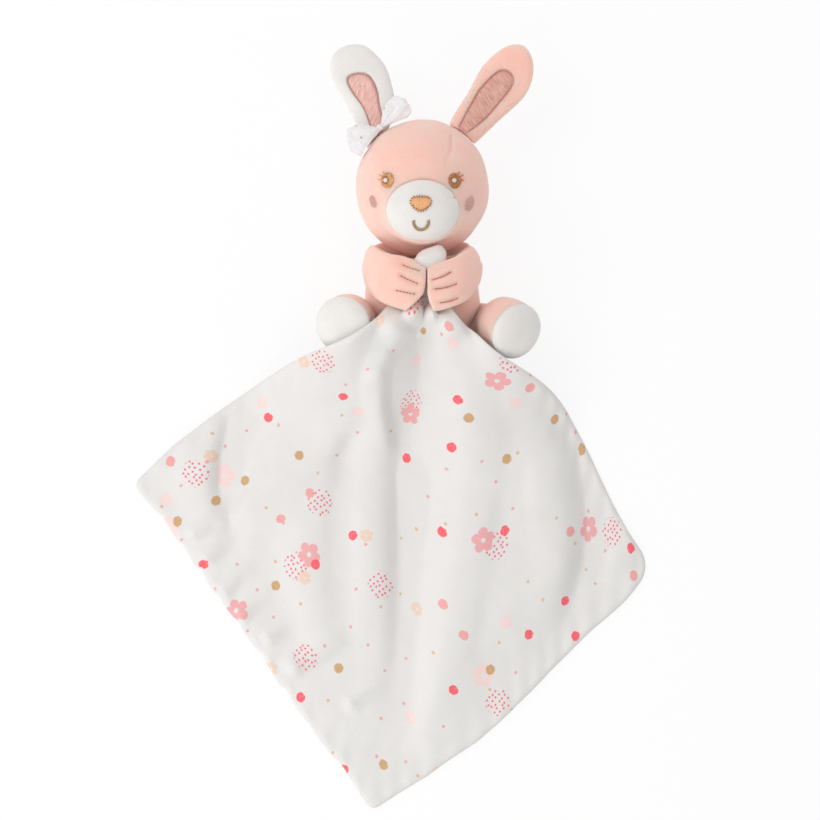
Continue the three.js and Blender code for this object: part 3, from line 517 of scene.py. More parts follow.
def oval_outline(place, half, turn=0):
    angles = round_turn(60)
    x, y = half[0] * np.cos(angles), half[1] * np.sin(angles)
    ca, sa = math.cos(math.radians(turn)), math.sin(math.radians(turn))
    return np.stack([place[0] + x * ca - y * sa, place[1] + x * sa + y * ca], axis=-1)


def satin(outline, angle, pitch=STITCH_PITCH, jag=0.0, seed=3, steps=9):
    """Threads that fill an outline side by side, running at an angle; jag makes their ends uneven."""
    rng = np.random.default_rng(seed)
    ca, sa = math.cos(math.radians(angle)), math.sin(math.radians(angle))
    along, across = np.array((ca, sa)), np.array((-sa, ca))
    middle = outline.mean(axis=0)
    rel = outline - middle
    a, c = rel @ along, rel @ across
    threads = []
    for row in np.arange(c.min() + pitch / 2, c.max(), pitch):
        crossings = []
        for i in range(len(a)):
            j = (i + 1) % len(a)
            if (c[i] - row) * (c[j] - row) < 0:
                crossings.append(a[i] + (a[j] - a[i]) * (row - c[i]) / (c[j] - c[i]))
        crossings.sort()
        for low, high in zip(crossings[::2], crossings[1::2]):
            if high - low < 0.5:
                continue
            low, high = low - jag * rng.random(), high + jag * rng.random()
            t = np.linspace(low, high, steps)
            line = middle + t[:, None] * along + (row + rng.normal(0, 0.03)) * across
            threads.append((line[:, 0], line[:, 1]))
    return threads


def blend_colour(tree, mask, under, over):
    """One colour over another where a mask says so."""
    mixed = add_node(tree, "Mix", {"Factor": mask}, data_type="RGBA")
    for socket, colour in zip([socket for socket in mixed.inputs if socket.type == "RGBA"], (under, over)):
        feed(tree, socket, colour)
    return next(socket for socket in mixed.outputs if socket.type == "RGBA")


def thread_group():
    """Twisted thread: a slanting twist along it, painted in its dark colour where the twist lies low as
    painted shade in its grooves, and small changes of colour from thread to thread.
    """
    group, given, out = node_group(
        "twisted_thread",
        {"Colour": PLAIN_WHITE, "Dark": (0, 0, 0, 1)},
        {"Colour": "Color", "Height": "Float"},
    )
    place = add_node(group, "TexCoord").outputs["Object"]
    values = {"Vector": place, "Scale": 900, "Distortion": 3}
    twist = add_node(group, "TexWave", values, bands_direction="DIAGONAL")
    change = add_node(group, "TexNoise", {"Vector": place, "Scale": 600, "Detail": 3})
    # dark where the twist lies low: painted shade in the twist's grooves, besides uneven tone from thread to
    # thread
    both = math_node(group, "MULTIPLY", change.outputs["Fac"], twist.outputs["Fac"])
    share = add_node(group, "MapRange", {"From Min": 0.16, "From Max": 0.34, "Value": both})
    feed(group, out["Colour"], blend_colour(group, share.outputs[0], given["Dark"], given["Colour"]))
    feed(group, out["Height"], twist.outputs["Fac"])
    return group


twisted_thread = thread_group()


def thread(name, colour, dark, metallic=0.0):
    """Shiny embroidery thread; its dark colour is painted shade in the grooves of its twist."""
    finish = {
        "Roughness": 0.42,
        "Sheen Weight": 0.2,
        "Sheen Tint": colour,
        "Metallic": metallic,
        "Specular IOR Level": 0.5,
    }
    material, shader = principled(name, finish)
    tree = material.node_tree
    made = add_node(tree, "Group", {"Colour": colour, "Dark": dark}, node_tree=twisted_thread)
    feed(tree, shader.inputs["Base Color"], made.outputs["Colour"])
    bump(tree, made.outputs["Height"], shader, 0.1, 0.3)
    return material


# Both eyes are one gold thread: the left one is painted lighter as painted light, the right one darker as
# painted shade.
eye_thread_lit_and_shaded = {
    "left": thread("left_eye_thread_painted_lit", (0.98, 0.60, 0.28, 1), (0.40, 0.14, 0.03, 1), metallic=0.15),
    "right": thread("right_eye_thread_painted_shade", (0.80, 0.38, 0.13, 1), (0.18, 0.06, 0.02, 1), metallic=0.15),
}
# the second colour of each thread is painted shade in the grooves of its twist
mouth_thread = thread("mouth_thread", (0.55, 0.40, 0.22, 1), (0.28, 0.17, 0.08, 1), metallic=0.15)
bronze_thread = thread("bronze_thread", (0.55, 0.25, 0.08, 1), (0.25, 0.09, 0.02, 1), metallic=0.1)
copper_thread = thread("copper_thread", (0.97, 0.60, 0.32, 1), (0.80, 0.34, 0.12, 1), metallic=0.1)
rose_thread = thread("rose_thread", (0.84, 0.60, 0.55, 1), (0.58, 0.36, 0.33, 1))
white_thread = thread("white_thread", (0.9, 0.88, 0.85, 1), (0.7, 0.68, 0.66, 1))


def sew(piece, material, body, nodes):
    """A piece of embroidery gets its thread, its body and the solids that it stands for."""
    piece.data.materials.append(material)
    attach(piece, body)
    if nodes:
        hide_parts(*nodes)


for side_name, (eye_x, eye_y) in EYE_PLACES.items():
    sign = -1 if side_name == "left" else 1
    eye_threads = [on_face(x, y) for x, y in satin(oval_outline((eye_x, eye_y), EYE_HALF), 90, jag=0.25)]
    for lash_turn, lash_length in LASHES:
        ca, sa = sign * math.cos(math.radians(lash_turn)), math.sin(math.radians(lash_turn))
        root_x, root_y = eye_x + ca * EYE_HALF[0] * LASH_ROOT[0], eye_y + sa * EYE_HALF[1] * LASH_ROOT[1]
        for spread in (-LASH_HALF_WIDTH, LASH_HALF_WIDTH):
            t = np.linspace(LASH_IN_EYE, lash_length, 8)
            narrowing = spread * (1 - np.clip(t / lash_length, 0, 1))
            x, y = root_x + ca * t - sa * narrowing, root_y + sa * t + ca * narrowing
            eye_threads.append(on_face(x, y, 0.7, 8))
    eye = strands(f"{side_name}_eye_stitching", eye_threads, THREAD)
    sew(eye, eye_thread_lit_and_shaded[side_name], "head", [f"{side_name}_eye"])
    glint_place = (eye_x + GLINT_SHIFT, eye_y)
    ring_threads = []
    for angle in round_turn(22):
        inner = (GLINT_HALF[0] * math.cos(angle), GLINT_HALF[1] * math.sin(angle))
        t = np.linspace(0.85, 1.6, 5)
        ring_threads.append(on_face(glint_place[0] + inner[0] * t, glint_place[1] + inner[1] * t, 0.95, 4))
    sew(strands(f"{side_name}_eye_ring", ring_threads, RING_THREAD), bronze_thread, "head", [])
    glint_threads = [on_face(x, y, 1.2, 4) for x, y in satin(oval_outline(glint_place, GLINT_HALF), 90, 0.34)]
    glint = strands(f"{side_name}_eye_glint_stitching", glint_threads, FINE_THREAD)
    sew(glint, white_thread, "head", [f"{side_name}_eye_glint"])

for side_name, (cheek_place, cheek_half, cheek_turn) in CHEEKS.items():
    outline = oval_outline(cheek_place, cheek_half, cheek_turn)
    cheek_threads = [on_face(x, y, 0.45) for x, y in satin(outline, 90 + cheek_turn, 0.7, jag=0.9)]
    cheek = strands(f"{side_name}_cheek_stitching", cheek_threads, THREAD)
    sew(cheek, rose_thread, "head", [f"{side_name}_cheek"])


def curve_through(spans, steps):
    """Close places on a smooth curve; a span holds four points, and the curve runs between its middle two."""
    places = []
    for p0, p1, p2, p3 in spans:
        for t in np.linspace(0, 1, steps, endpoint=False):
            bent = 2 * p1 + (p2 - p0) * t + (2 * p0 - 5 * p1 + 4 * p2 - p3) * t**2
            places.append(0.5 * (bent + (3 * p1 - p0 - 3 * p2 + p3) * t**3))
    return places


def evened(places, count, endpoint):
    """Even places along a curve."""
    along = np.concatenate([[0], np.cumsum(np.linalg.norm(np.diff(places, axis=0), axis=1))])
    wanted = np.linspace(0, along[-1], count, endpoint=endpoint)
    return np.stack([np.interp(wanted, along, places[:, k]) for k in range(places.shape[1])], axis=-1)


def closed_curve(points, count):
    """Even places along a smooth closed curve through points."""
    points = np.asarray(points, float)
    spans = [[points[(i + k) % len(points)] for k in (-1, 0, 1, 2)] for i in range(len(points))]
    places = curve_through(spans, 12)
    return evened(np.array([*places, places[0]]), count, endpoint=False)


nose_outline = np.array(NOSE_SHAPE) + NOSE_PLACE
nose_threads = [on_face(x, y, 0.95) for x, y in satin(nose_outline, 90, 0.4, jag=0.45, seed=5, steps=11)]
sew(strands("nose_stitching", nose_threads, NOSE_THREAD), copper_thread, "head", ["nose"])
# Short dark bronze stitches round the nose's edge: painted shade where the satin stitch dips into its needle
# holes.
edge_shade_threads = []
for k, point in enumerate(closed_curve(nose_outline, 21)):
    inward = (NOSE_PLACE - point) / np.linalg.norm(NOSE_PLACE - point)
    t = np.linspace(-0.5, 1.0 + 0.5 * math.sin(2.7 * k), 5)
    edge_shade_threads.append(on_face(point[0] + inward[0] * t, point[1] + inward[1] * t, 1.1, 4))
nose_edge_shade = strands("nose_edge_shade_stitching", edge_shade_threads, NOSE_EDGE_THREAD)
sew(nose_edge_shade, bronze_thread, "head", [])

mouth_threads = []
for turn in np.linspace(math.pi * 0.95, math.pi * 2.05, MOUTH_STITCHES):
    t = np.linspace(-MOUTH_HALF_WIDTH, MOUTH_HALF_WIDTH, 6)
    slant = turn + 0.10 * t
    radius = MOUTH_RADIUS + t
    x, y = MOUTH_PLACE[0] + radius * np.cos(slant), MOUTH_PLACE[1] + radius * np.sin(slant)
    mouth_threads.append(on_face(x, y, 0.8, 4))
sew(strands("mouth_stitching", mouth_threads, FINE_THREAD), mouth_thread, "head", ["mouth"])

# Ears: two layers of plush, stuffed thinly, with a rose lining stitched on the front inside a puffed rim.
# Each is sewn to the top of the head along its foot, the white one on the left and the pink one on the right.
EAR_MIDDLE = 34.5
EAR_THICK = 6.6
EAR_RIM = 1.3
EAR_LINING_SUNK = 0.5
EAR_SIDES = 120
LINING_SHARES = (0.03, 0.35, 0.7, 0.94)
LINING_EDGE = 0.35
BORDER_THREAD = 0.13
EARS = {
    "left": {
        "outline": (
            (-37.2, 98.6), (-40.9, 107.4), (-44.5, 114.2), (-48.6, 121), (-52, 127.6), (-54, 133.8),
            (-53.9, 140.3), (-50.8, 145.6), (-45.3, 149), (-39.4, 150), (-33.9, 149), (-28.7, 145.2),
            (-23.6, 139.8), (-20.3, 133.6), (-18.3, 127.2), (-16.8, 120.4), (-16.6, 113), (-18, 105),
            (-20.5, 99.5), (-24.5, 96.6), (-28, 93.6), (-30.5, 90.8), (-32.6, 88.8), (-35, 93.5),
        ),
        "lining": (
            (-29.4, 98.2), (-31.4, 104.3), (-35, 112.6), (-40.7, 120.6), (-43.5, 125.3),
            (-44.3, 129), (-42.7, 131.2), (-37.5, 132.6), (-32.3, 131.6), (-28.7, 127.2),
            (-26.4, 121.3), (-25.4, 114.9), (-24.1, 108.5), (-23.3, 102.1), (-24.3, 96.7),
        ),
        "axis": ((-27, 101), (-35.5, 125)),
        "lumps": (11, 0.5, 4),
        "plush": white_plush,
        "slot": "plush_white",
    },
    "right": {
        "outline": (
            (16.1, 103.2), (21.2, 112.7), (26.8, 121.2), (30.2, 127.7), (34.1, 135), (39.2, 141),
            (46.1, 147), (52.1, 149.6), (58.1, 149.8), (61.6, 147.5), (64.6, 142.3), (65.6, 135.9),
            (64.6, 128.5), (60.7, 119.9), (53.8, 112.6), (46.1, 105.8), (38.4, 98.4), (31, 91.6),
            (29.5, 92), (26.5, 95), (22, 98.6), (18.5, 101),
        ),
        "lining": (
            (21.6, 100.8), (25.9, 109.6), (29.8, 116.5), (33.2, 122.5), (38.4, 128.5), (43.1, 132.8),
            (47.4, 134.6), (51.7, 132.4), (53.4, 127.7), (50.8, 122.1), (45.7, 115.6), (40.1, 108.8),
            (34.1, 103.2), (28, 98.9), (24.5, 98.2),
        ),
        "axis": ((26, 100), (50, 128)),
        "lumps": (11, 0.5, 6),
        "plush": pink_plush,
        "slot": "plush_pink",
    },
}


def facing_curve(points, axis, count):
    """Places on a closed curve in the directions seen from an axis, so that two curves round it match up."""
    curve = closed_curve(points, 720)
    (ax, ay), (bx, by) = axis
    a, d = np.array((ax, ay)), np.array((bx - ax, by - ay))
    t = np.clip(((curve - a) @ d) / (d @ d), 0, 1)
    from_axis = curve - a - t[:, None] * d
    side = np.arctan2(from_axis[:, 1], from_axis[:, 0])
    length = np.linalg.norm(d)
    start = np.argmin(np.abs(side - math.atan2(-d[1], -d[0])) + 10 * t)
    order = np.roll(np.arange(len(curve)), -start)
    turn = np.unwrap(side[order])
    beside = np.concatenate([[0], np.cumsum(np.abs(np.diff(t[order])) * length)])
    travel = np.abs(turn - turn[0]) * 8 + beside
    wanted = np.linspace(0, travel[-1], count, endpoint=False)
    places = np.stack([np.interp(wanted, travel, curve[order][:, k]) for k in range(2)], axis=-1)
    return places, np.interp(wanted, travel, t[order])


def build_ear(name, ear):
    """The plush of an ear: a flat floor under the lining, a puffed rim round it and a rounded back."""
    edge, along = facing_curve(ear["outline"], ear["axis"], EAR_SIDES)
    inner, _ = facing_curve(ear["lining"], ear["axis"], EAR_SIDES)
    axis = np.array(ear["axis"])
    core = axis[0] + along[:, None] * (axis[1] - axis[0])
    half = EAR_THICK / 2
    floor = half - EAR_LINING_SUNK

    def ring(places, height):
        return np.column_stack([places, np.full(len(places), EAR_MIDDLE) + height])

    rings = [ring(core + (inner - core) * share, floor - EAR_LINING_SUNK) for share in (0.05, 0.5, 0.97)]
    for u in np.linspace(0, 1, 14):
        bulge = (1 - abs(2 * u - 1) ** 2.2) ** (1 / 2.2)
        height = EAR_RIM * bulge * (1 - 0.35 * u) + (1 - u) * floor * 0.96 + bulge * half * 0.45 * u
        rings.append(ring(inner + (edge - inner) * u, height))
    for u in np.linspace(0.04, 1, 12):
        places = edge + (core - edge) * (u * 0.95)
        rings.append(ring(places, -half * (1 - (1 - u) ** 2.6) ** (1 / 2.6)))
    rings = np.array(rings)
    flat = rings.reshape(-1, 3)
    flat[:, 2] += uneven(flat, *ear["lumps"])
    return ring_form(f"{name}_ear_plush", rings), inner, core


def build_lining(name, inner, core, top):
    """A thin cloth on the floor of the ear, whose edge goes down under the rim's stitches."""
    rings = []
    for share in LINING_SHARES:
        places = core + (inner - core) * share
        rings.append(np.column_stack([places, np.full(len(places), top + 0.05 - 0.3 * share**4)]))
    rings.append(rings[-1] + (0, 0, -LINING_EDGE))
    rings += [ring - (0, 0, 2 * LINING_EDGE) for ring in reversed(rings[:3])]
    return ring_form(f"{name}_ear_lining_cloth", np.array(rings))


def border_stitches(name, inner, core, top):
    """Close stitches round the lining, from the rim over its edge."""
    border = []
    for i in range(EAR_SIDES):
        k = (i + 1) % EAR_SIDES
        for shift in (0, 0.5):
            a = inner[i] + (inner[k] - inner[i]) * shift
            c = core[i] + (core[k] - core[i]) * shift
            inward = (c - a) / max(np.linalg.norm(c - a), 1e-6)
            t = np.linspace(-0.3, 0.45, 5)
            height = top + 0.22 - 0.55 * np.abs(np.linspace(-1, 1, 5)) ** 3
            border.append(np.column_stack([a + t[:, None] * inward, height]))
    return strands(f"{name}_ear_border_stitching", border, BORDER_THREAD)


def metallic_group():
    """Metallic cloth: bright and dark threads that run along the ear and break off unevenly; the bright ones
    lie on the raised streaks, partly the yarn's own paler tone and partly painted glints of the metallic
    yarn.
    """
    group, given, out = node_group(
        "metallic_threads",
        {"Light": PLAIN_WHITE, "Dark": (0, 0, 0, 1), "Turn": 0.0},
        {"Colour": "Color", "Height": "Float", "Roughness": "Float"},
    )
    place = add_node(group, "TexCoord").outputs["Object"]
    values = {"Vector": place, "Angle": given["Turn"]}
    ear_way = add_node(group, "VectorRotate", values, rotation_type="Z_AXIS").outputs[0]
    drawn_out = add_node(group, "VectorMath", {0: ear_way, 1: (1900, 160, 160)}, operation="MULTIPLY")
    fleck = add_node(group, "TexNoise", {"Vector": drawn_out.outputs[0], "Scale": 1, "Detail": 2})
    # light where the streaks stand high and dark where they lie low: the yarn's own two tones with painted
    # glints and painted shade on them
    sharp = add_node(group, "MapRange", {"From Min": 0.38, "From Max": 0.62, "Value": fleck.outputs["Fac"]})
    feed(group, out["Colour"], blend_colour(group, sharp.outputs[0], given["Dark"], given["Light"]))
    feed(group, out["Height"], fleck.outputs["Fac"])
    gloss = math_node(group, "MULTIPLY", sharp.outputs[0], 0.35)
    feed(group, out["Roughness"], math_node(group, "SUBTRACT", 0.75, gloss))
    return group


metallic_threads = metallic_group()


def lining_cloth(name, light, dark, turn):
    """Rose cloth with metallic threads, whose way is turned by some degrees."""
    finish = {"Roughness": 0.6, "Sheen Weight": 0.1, "Sheen Tint": light, "Specular IOR Level": 0.5}
    material, shader = principled(name, finish)
    tree = material.node_tree
    values = {"Light": light, "Dark": dark, "Turn": math.radians(turn)}
    made = add_node(tree, "Group", values, node_tree=metallic_threads)
    feed(tree, shader.inputs["Base Color"], made.outputs["Colour"])
    feed(tree, shader.inputs["Roughness"], made.outputs["Roughness"])
    bump(tree, made.outputs["Height"], shader, 0.2, 0.4)
    return material


# One rose metallic cloth in both ears: the left lining is painted lighter as painted light, the right one
# darker as painted shade.
linings_lit_and_shaded = {
    "left": lining_cloth("left_lining_cloth_painted_lit", (0.88, 0.54, 0.48, 1), (0.68, 0.38, 0.32, 1), 18),
    "right": lining_cloth("right_lining_cloth_painted_shade", (0.79, 0.44, 0.36, 1), (0.56, 0.28, 0.23, 1), -36),
}
# its second colour is painted shade in the grooves of its twist
border_thread = thread("border_thread", (0.84, 0.50, 0.44, 1), (0.66, 0.35, 0.30, 1))
for side_name, ear in EARS.items():
    piece, inner, core = build_ear(side_name, ear)
    piece.data.materials.append(ear["plush"])
    lining_top = EAR_MIDDLE + EAR_THICK / 2 - 0.15
    lining = build_lining(side_name, inner, core, lining_top)
    lining.data.materials.append(linings_lit_and_shaded[side_name])
    stitches = border_stitches(side_name, inner, core, lining_top)
    stitches.data.materials.append(border_thread)
    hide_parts(f"{side_name}_ear_front", f"{side_name}_ear_back")
    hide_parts(f"{side_name}_ear_lining")
    foot = np.array((*ear["axis"][0], EAR_MIDDLE))
    tip = np.array((*ear["axis"][1], EAR_MIDDLE))
    for part in (piece, lining, stitches):
        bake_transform(part)

# Bow: white tulle with small gold dots, folded into two loops and tied at the foot of the left ear.
# The tulle is stiff, so the loops stand open and crumple into sharp pleats towards the knot.
BOW_KNOT = np.array((-24.6, 99.6, 42.3))
BOW_CLEARANCE = 0.6
BOW_BLEND = 1.5
LEFT_EAR_FOOT, LEFT_EAR_AXIS = np.array((-27.44, 98.976, 34.5)), (0.951057, 0.309017, 0)
LEFT_EAR_SWINGS = (0, 4, 8, -28)
BOW_LOOPS = {
    "upper": {"turn": 48, "length": 22.8, "width": 14.5, "depth": 7, "pleats": 3, "seed": 11},
    "lower": {"turn": 215, "length": 21.5, "width": 21, "depth": 8.5, "pleats": 4, "seed": 12},
}
LOOP_SIDES, LOOP_RINGS = 96, 40
KNOT_TURN, KNOT_RADIUS, KNOT_LENGTH = 130, 2.4, 5.6
KNOT_SIDES, KNOT_RINGS = 40, 14
UP = np.array((0, 0, 1))
# without a seed of its own noise_vector differs from run to run
CRUMPLE_SEED = 11
noise.seed_set(CRUMPLE_SEED)


def turned(points, axis, degrees, pivot):
    """Points turned about an axis through a pivot."""
    axis = np.asarray(axis, float) / np.linalg.norm(axis)
    rel = points - pivot
    a = math.radians(degrees)
    along = np.outer(rel @ axis, axis) * (1 - math.cos(a))
    return pivot + rel * math.cos(a) + np.cross(axis, rel) * math.sin(a) + along


def press_out(points, gap, clearance, blend=2.5, rounds=4):
    """Moves points that are too near a form out of it, with a soft change to those further off."""
    points = points.copy()
    for _ in range(rounds):
        distance = gap(points) - clearance
        out, steep = outward(gap, points)
        wanted = np.where(distance < blend, np.maximum(0, (blend - distance)) ** 2 / (4 * blend), 0)
        wanted = np.where(distance < -blend, -distance, wanted)
        points += out * (wanted / np.maximum(steep, 0.3) * 0.6)[:, None]
    return points


def head_beside_ear(points):
    """Distance outside the head wherever the left ear swings the bow to."""
    gaps = [head_gap(turned(points, LEFT_EAR_AXIS, swing, LEFT_EAR_FOOT)) for swing in LEFT_EAR_SWINGS]
    return np.min(gaps, axis=0)


def lying_pair(turn):
    """The direction at a bearing as seen from above, and the one across it."""
    along = np.array((math.cos(math.radians(turn)), math.sin(math.radians(turn)), 0))
    return along, np.array((-along[1], along[0], 0))


def crumpled(places, size, seed, row):
    shift = Vector((seed, row, 0))
    return np.array([noise.noise_vector(Vector(p) / size + shift) for p in places])


def bow_form(name, rings):
    """A skin of tulle that keeps off the head."""
    rings = np.array(rings)
    flat = press_out(rings.reshape(-1, 3), head_beside_ear, BOW_CLEARANCE, BOW_BLEND)
    return ring_form(name, flat.reshape(rings.shape))


def tulle_loop(name, turn, length, width, depth, pleats, seed):
    """A loop as a bag of tulle: narrow at the knot, wide and crumpled at its rim."""
    along, across = lying_pair(turn)
    angles = round_turn(LOOP_SIDES)
    waves = 0.05 * np.cos(5 * pleats * angles)
    rings = []
    for s in np.linspace(0, 1, LOOP_RINGS):
        out = 1 - (1 - s) ** 1.3
        fan = 0.16 + 0.84 * math.sin(min(s * 1.7, 1) * math.pi / 2)
        close = (1 - max(0, (s - 0.72) / 0.28) ** 3) ** 0.5 if s > 0.72 else 1
        pleat = 1 + (0.14 * np.cos(2 * pleats * angles + 2 * s) + waves) * (1 - 0.6 * s)
        wide = width / 2 * fan * np.cos(angles) * (0.25 + 0.75 * close)
        deep = depth / 2 * (0.45 + 0.55 * fan) * np.sin(angles) * close * pleat
        round_end = 3.2 * s * (np.cos(angles) ** 2)
        centre = BOW_KNOT + along * (1.2 + (length - 1.2) * out - round_end)[:, None]
        places = centre + across * wide[:, None] + UP * deep[:, None]
        crumple = crumpled(places, 5.5, seed, 0) + 0.5 * crumpled(places, 2.4, seed, 4)
        rings.append(places + crumple * 1.5 * s)
    return bow_form(f"bow_{name}_tulle", rings)


def tulle_knot():
    """The strip drawn tight round the middle of the bow."""
    along, across = lying_pair(KNOT_TURN)
    angles = round_turn(KNOT_SIDES)
    rings = []
    for s in np.linspace(0.04, 0.96, KNOT_RINGS):
        radius = KNOT_RADIUS * math.sin(math.pi * s) ** 0.6 * (1 + 0.08 * np.cos(7 * angles))
        centre = BOW_KNOT + along * (s - 0.5) * KNOT_LENGTH
        sideways = across * (radius * np.cos(angles))[:, None]
        rings.append(centre + sideways + UP * (radius * np.sin(angles))[:, None])
    return bow_form("bow_knot_tulle", rings)


def tulle_material():
    """Fine white net that lets some light through, with small gold dots."""
    material, shader = principled("white_tulle", {"Roughness": 0.6, "Sheen Weight": 0.2})
    tree = material.node_tree
    place = add_node(tree, "TexCoord").outputs["Object"]
    dots = add_node(tree, "TexVoronoi", {"Vector": place, "Scale": 130})
    dot = math_node(tree, "LESS_THAN", dots.outputs["Distance"], 0.10)
    colour = blend_colour(tree, dot, (0.94, 0.925, 0.935, 1), (0.50, 0.36, 0.20, 1))
    feed(tree, shader.inputs["Base Color"], colour)
    net = add_node(tree, "TexNoise", {"Vector": place, "Scale": 2600}).outputs["Fac"]
    ends = {"From Min": 0.35, "From Max": 0.65, "To Min": 0.62, "To Max": 0.86}
    open_share = add_node(tree, "MapRange", {**ends, "Value": net})
    feed(tree, shader.inputs["Alpha"], math_node(tree, "MAXIMUM", open_share.outputs[0], dot))
    feed(tree, shader.inputs["Metallic"], dot)
    bump(tree, net, shader, 0.2, 0.3)
    return material


white_tulle = tulle_material()
for loop_name, loop in BOW_LOOPS.items():
    piece = tulle_loop(loop_name, **loop)
    piece.data.materials.append(white_tulle)
    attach(piece, "left_ear")
    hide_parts(f"bow_{loop_name}_loop")
bow_knot = tulle_knot()
bow_knot.data.materials.append(white_tulle)
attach(bow_knot, "left_ear")
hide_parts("bow_knot")

# Torso: a pink bag of fibre that the head, the arms and the legs are sewn to.
# Its top is pressed hollow by the head, and a thread closes the seam of the neck.
TORSO_BOTTOM, TORSO_TOP = -24.3, 39
TORSO_MIDDLE = 21.5
TORSO_HALF = (36, 22)
CHEST_Y, CHEST_RISE, CHEST_WIDTH = 27, 4.5, 8
TORSO_LUMPS = ((14, 0.7, 8), (14, 0.7, 9))
NECK = np.array((0, 24.4, 28))
NECK_RADIUS = 10.6
NECK_STITCHES = 44
NECK_THREAD = 0.3
HEAD_REST_GAP = 0.8
# how far the head nods and turns, in degrees
HEAD_MOVES = ((8, 0), (8, 25), (8, -25), (0, 25), (0, -25), (4, 0))


def open_curve(points, count=400):
    """Even places along a smooth open curve through points."""
    points = np.asarray(points, float)
    padded = [2 * points[0] - points[1], *points, 2 * points[-1] - points[-2]]
    places = curve_through([padded[i : i + 4] for i in range(len(points) - 1)], 60)
    return evened(np.array([*places, points[-1]]), count, endpoint=True)


def sausage(line, across, half, rings=60, sides=72, power=2.0, start=0.0, end=1.0):
    """Rings round a line; half(t) gives the half width along across and the half depth at each place."""
    line = open_curve(line)
    direction = np.gradient(line, axis=0)
    direction /= np.linalg.norm(direction, axis=1, keepdims=True)
    angles = round_turn(sides)
    c, s = np.cos(angles), np.sin(angles)
    c, s = np.sign(c) * np.abs(c) ** (2 / power), np.sign(s) * np.abs(s) ** (2 / power)
    made = []
    for u in np.linspace(0, 1, rings):
        t = start + (end - start) * (1 - math.cos(math.pi * u)) / 2
        k = t * (len(line) - 1)
        centre = np.array([np.interp(k, np.arange(len(line)), line[:, i]) for i in range(3)])
        forward = direction[min(int(round(k)), len(line) - 1)]
        wide = np.asarray(across, float) - forward * (forward @ across)
        wide /= np.linalg.norm(wide)
        deep = np.cross(forward, wide)
        width, depth = half(t)
        made.append(centre + wide * (width * c)[:, None] + deep * (depth * s)[:, None])
    return np.array(made)


def blunt(t, power):
    return max(1 - abs(2 * t - 1) ** power, 1e-6) ** (1 / power)


def head_all_round(points):
    """Distance outside the head wherever it nods to and turns to."""
    gaps = [head_gap(points)]
    for nod, turn in HEAD_MOVES:
        gaps.append(head_gap(turned(turned(points, (0, 1, 0), -turn, NECK), (1, 0, 0), -nod, NECK)))
    return np.min(gaps, axis=0)


def torso_half(t):
    """Half its width and half its depth: round below, and nearly as wide up to the shoulders."""
    power = 2.6 + 3.4 * t
    share = (1 - abs(2 * min(max(t, 0.001), 0.999) - 1) ** power) ** (1 / 2.6)
    return TORSO_HALF[0] * share * (1 - 0.14 * t), TORSO_HALF[1] * share


def build_torso():
    """The bag, pressed hollow by the head, with a chest that swells in front of it."""
    line = ((0, TORSO_BOTTOM, TORSO_MIDDLE), (0, TORSO_TOP, TORSO_MIDDLE))
    rings = sausage(line, (1, 0, 0), torso_half, start=0.002, end=0.998)
    flat = press_out(rings.reshape(-1, 3), head_all_round, HEAD_REST_GAP)
    chest = CHEST_RISE * np.exp(-(((flat[:, 1] - CHEST_Y) / CHEST_WIDTH) ** 2))
    flat[:, 2] += chest * np.clip((flat[:, 2] - TORSO_MIDDLE) / 10, 0, 1)
    flat = press_out(flat, head_all_round, HEAD_REST_GAP)
    flat[:, 2] = np.maximum(flat[:, 2], 0.2)
    flat[:, :2] += np.column_stack([uneven(flat, *lumps) for lumps in TORSO_LUMPS])
    return ring_form("torso_plush", flat.reshape(rings.shape))


torso = build_torso()
torso.data.materials.append(pink_plush)
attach(torso, "torso")
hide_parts("torso_cover", "torso_stuffing")

neck_stitches = []
for angle in round_turn(NECK_STITCHES):
    out = np.array((math.cos(angle), 0, math.sin(angle)))
    slant = np.array((-math.sin(angle), 0, math.cos(angle)))
    t = np.linspace(-1, 1, 6)[:, None]
    bowed = NECK + (0, 1.6, 0) + out * (NECK_RADIUS + 0.3 * (1 - t**2))
    neck_stitches.append(bowed + slant * t * 0.5 + np.array((0, 1, 0)) * t * 1.1)
neck_thread = strands("neck_stitching", neck_stitches, NECK_THREAD)
# its second colour is painted shade in the grooves of its twist
pink_thread = thread("pink_thread", (0.86, 0.50, 0.42, 1), (0.62, 0.28, 0.22, 1))
neck_thread.data.materials.append(pink_thread)
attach(neck_thread, "neck_seam")
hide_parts("neck_seam")

# Arms: pink sleeves of fibre from the shoulders round to the front, where the two hands meet over the cloth.
# The left hand ends on a slant and the right one squarely; three lines of stitches mark the fingers of each.
ARM_HALF = (15.6, 7.9)
ARM_SQUARE = 2.15
HAND_Y, HAND_Z = 4.2, 57
# the right arm's middle line; the left one mirrors it
ARM_LINE = np.array(((21, 19.5, 21.5), (27.3, 18.2, 39.25), (18.33, 11.3, 54.4), (-3, HAND_Y, HAND_Z)))
# how far each hand reaches across, from the blanket up to the chin, and how much it is rounded there
HAND_ENDS = {
    "left": ((-20, -19), (-7.8, -9.3), (-1.2, -1.5), (2.1, 1.7), (5.4, 2.2), (9.2, 2.3), (40, 2.3)),
    "right": ((-20, 10.6), (-6.7, 5.6), (-2.3, 3.6), (2.1, 2.5), (5.4, 2.6), (40, 2.6)),
}
HAND_ROUNDING = {
    "left": ((-8, 2.5), (-1.2, 4), (2.1, 3.8), (5.4, 2.6), (9.2, 1.4), (13, 1.2)),
    "right": ((-8, 2.4), (2.1, 1.3), (13, 1.1)),
}
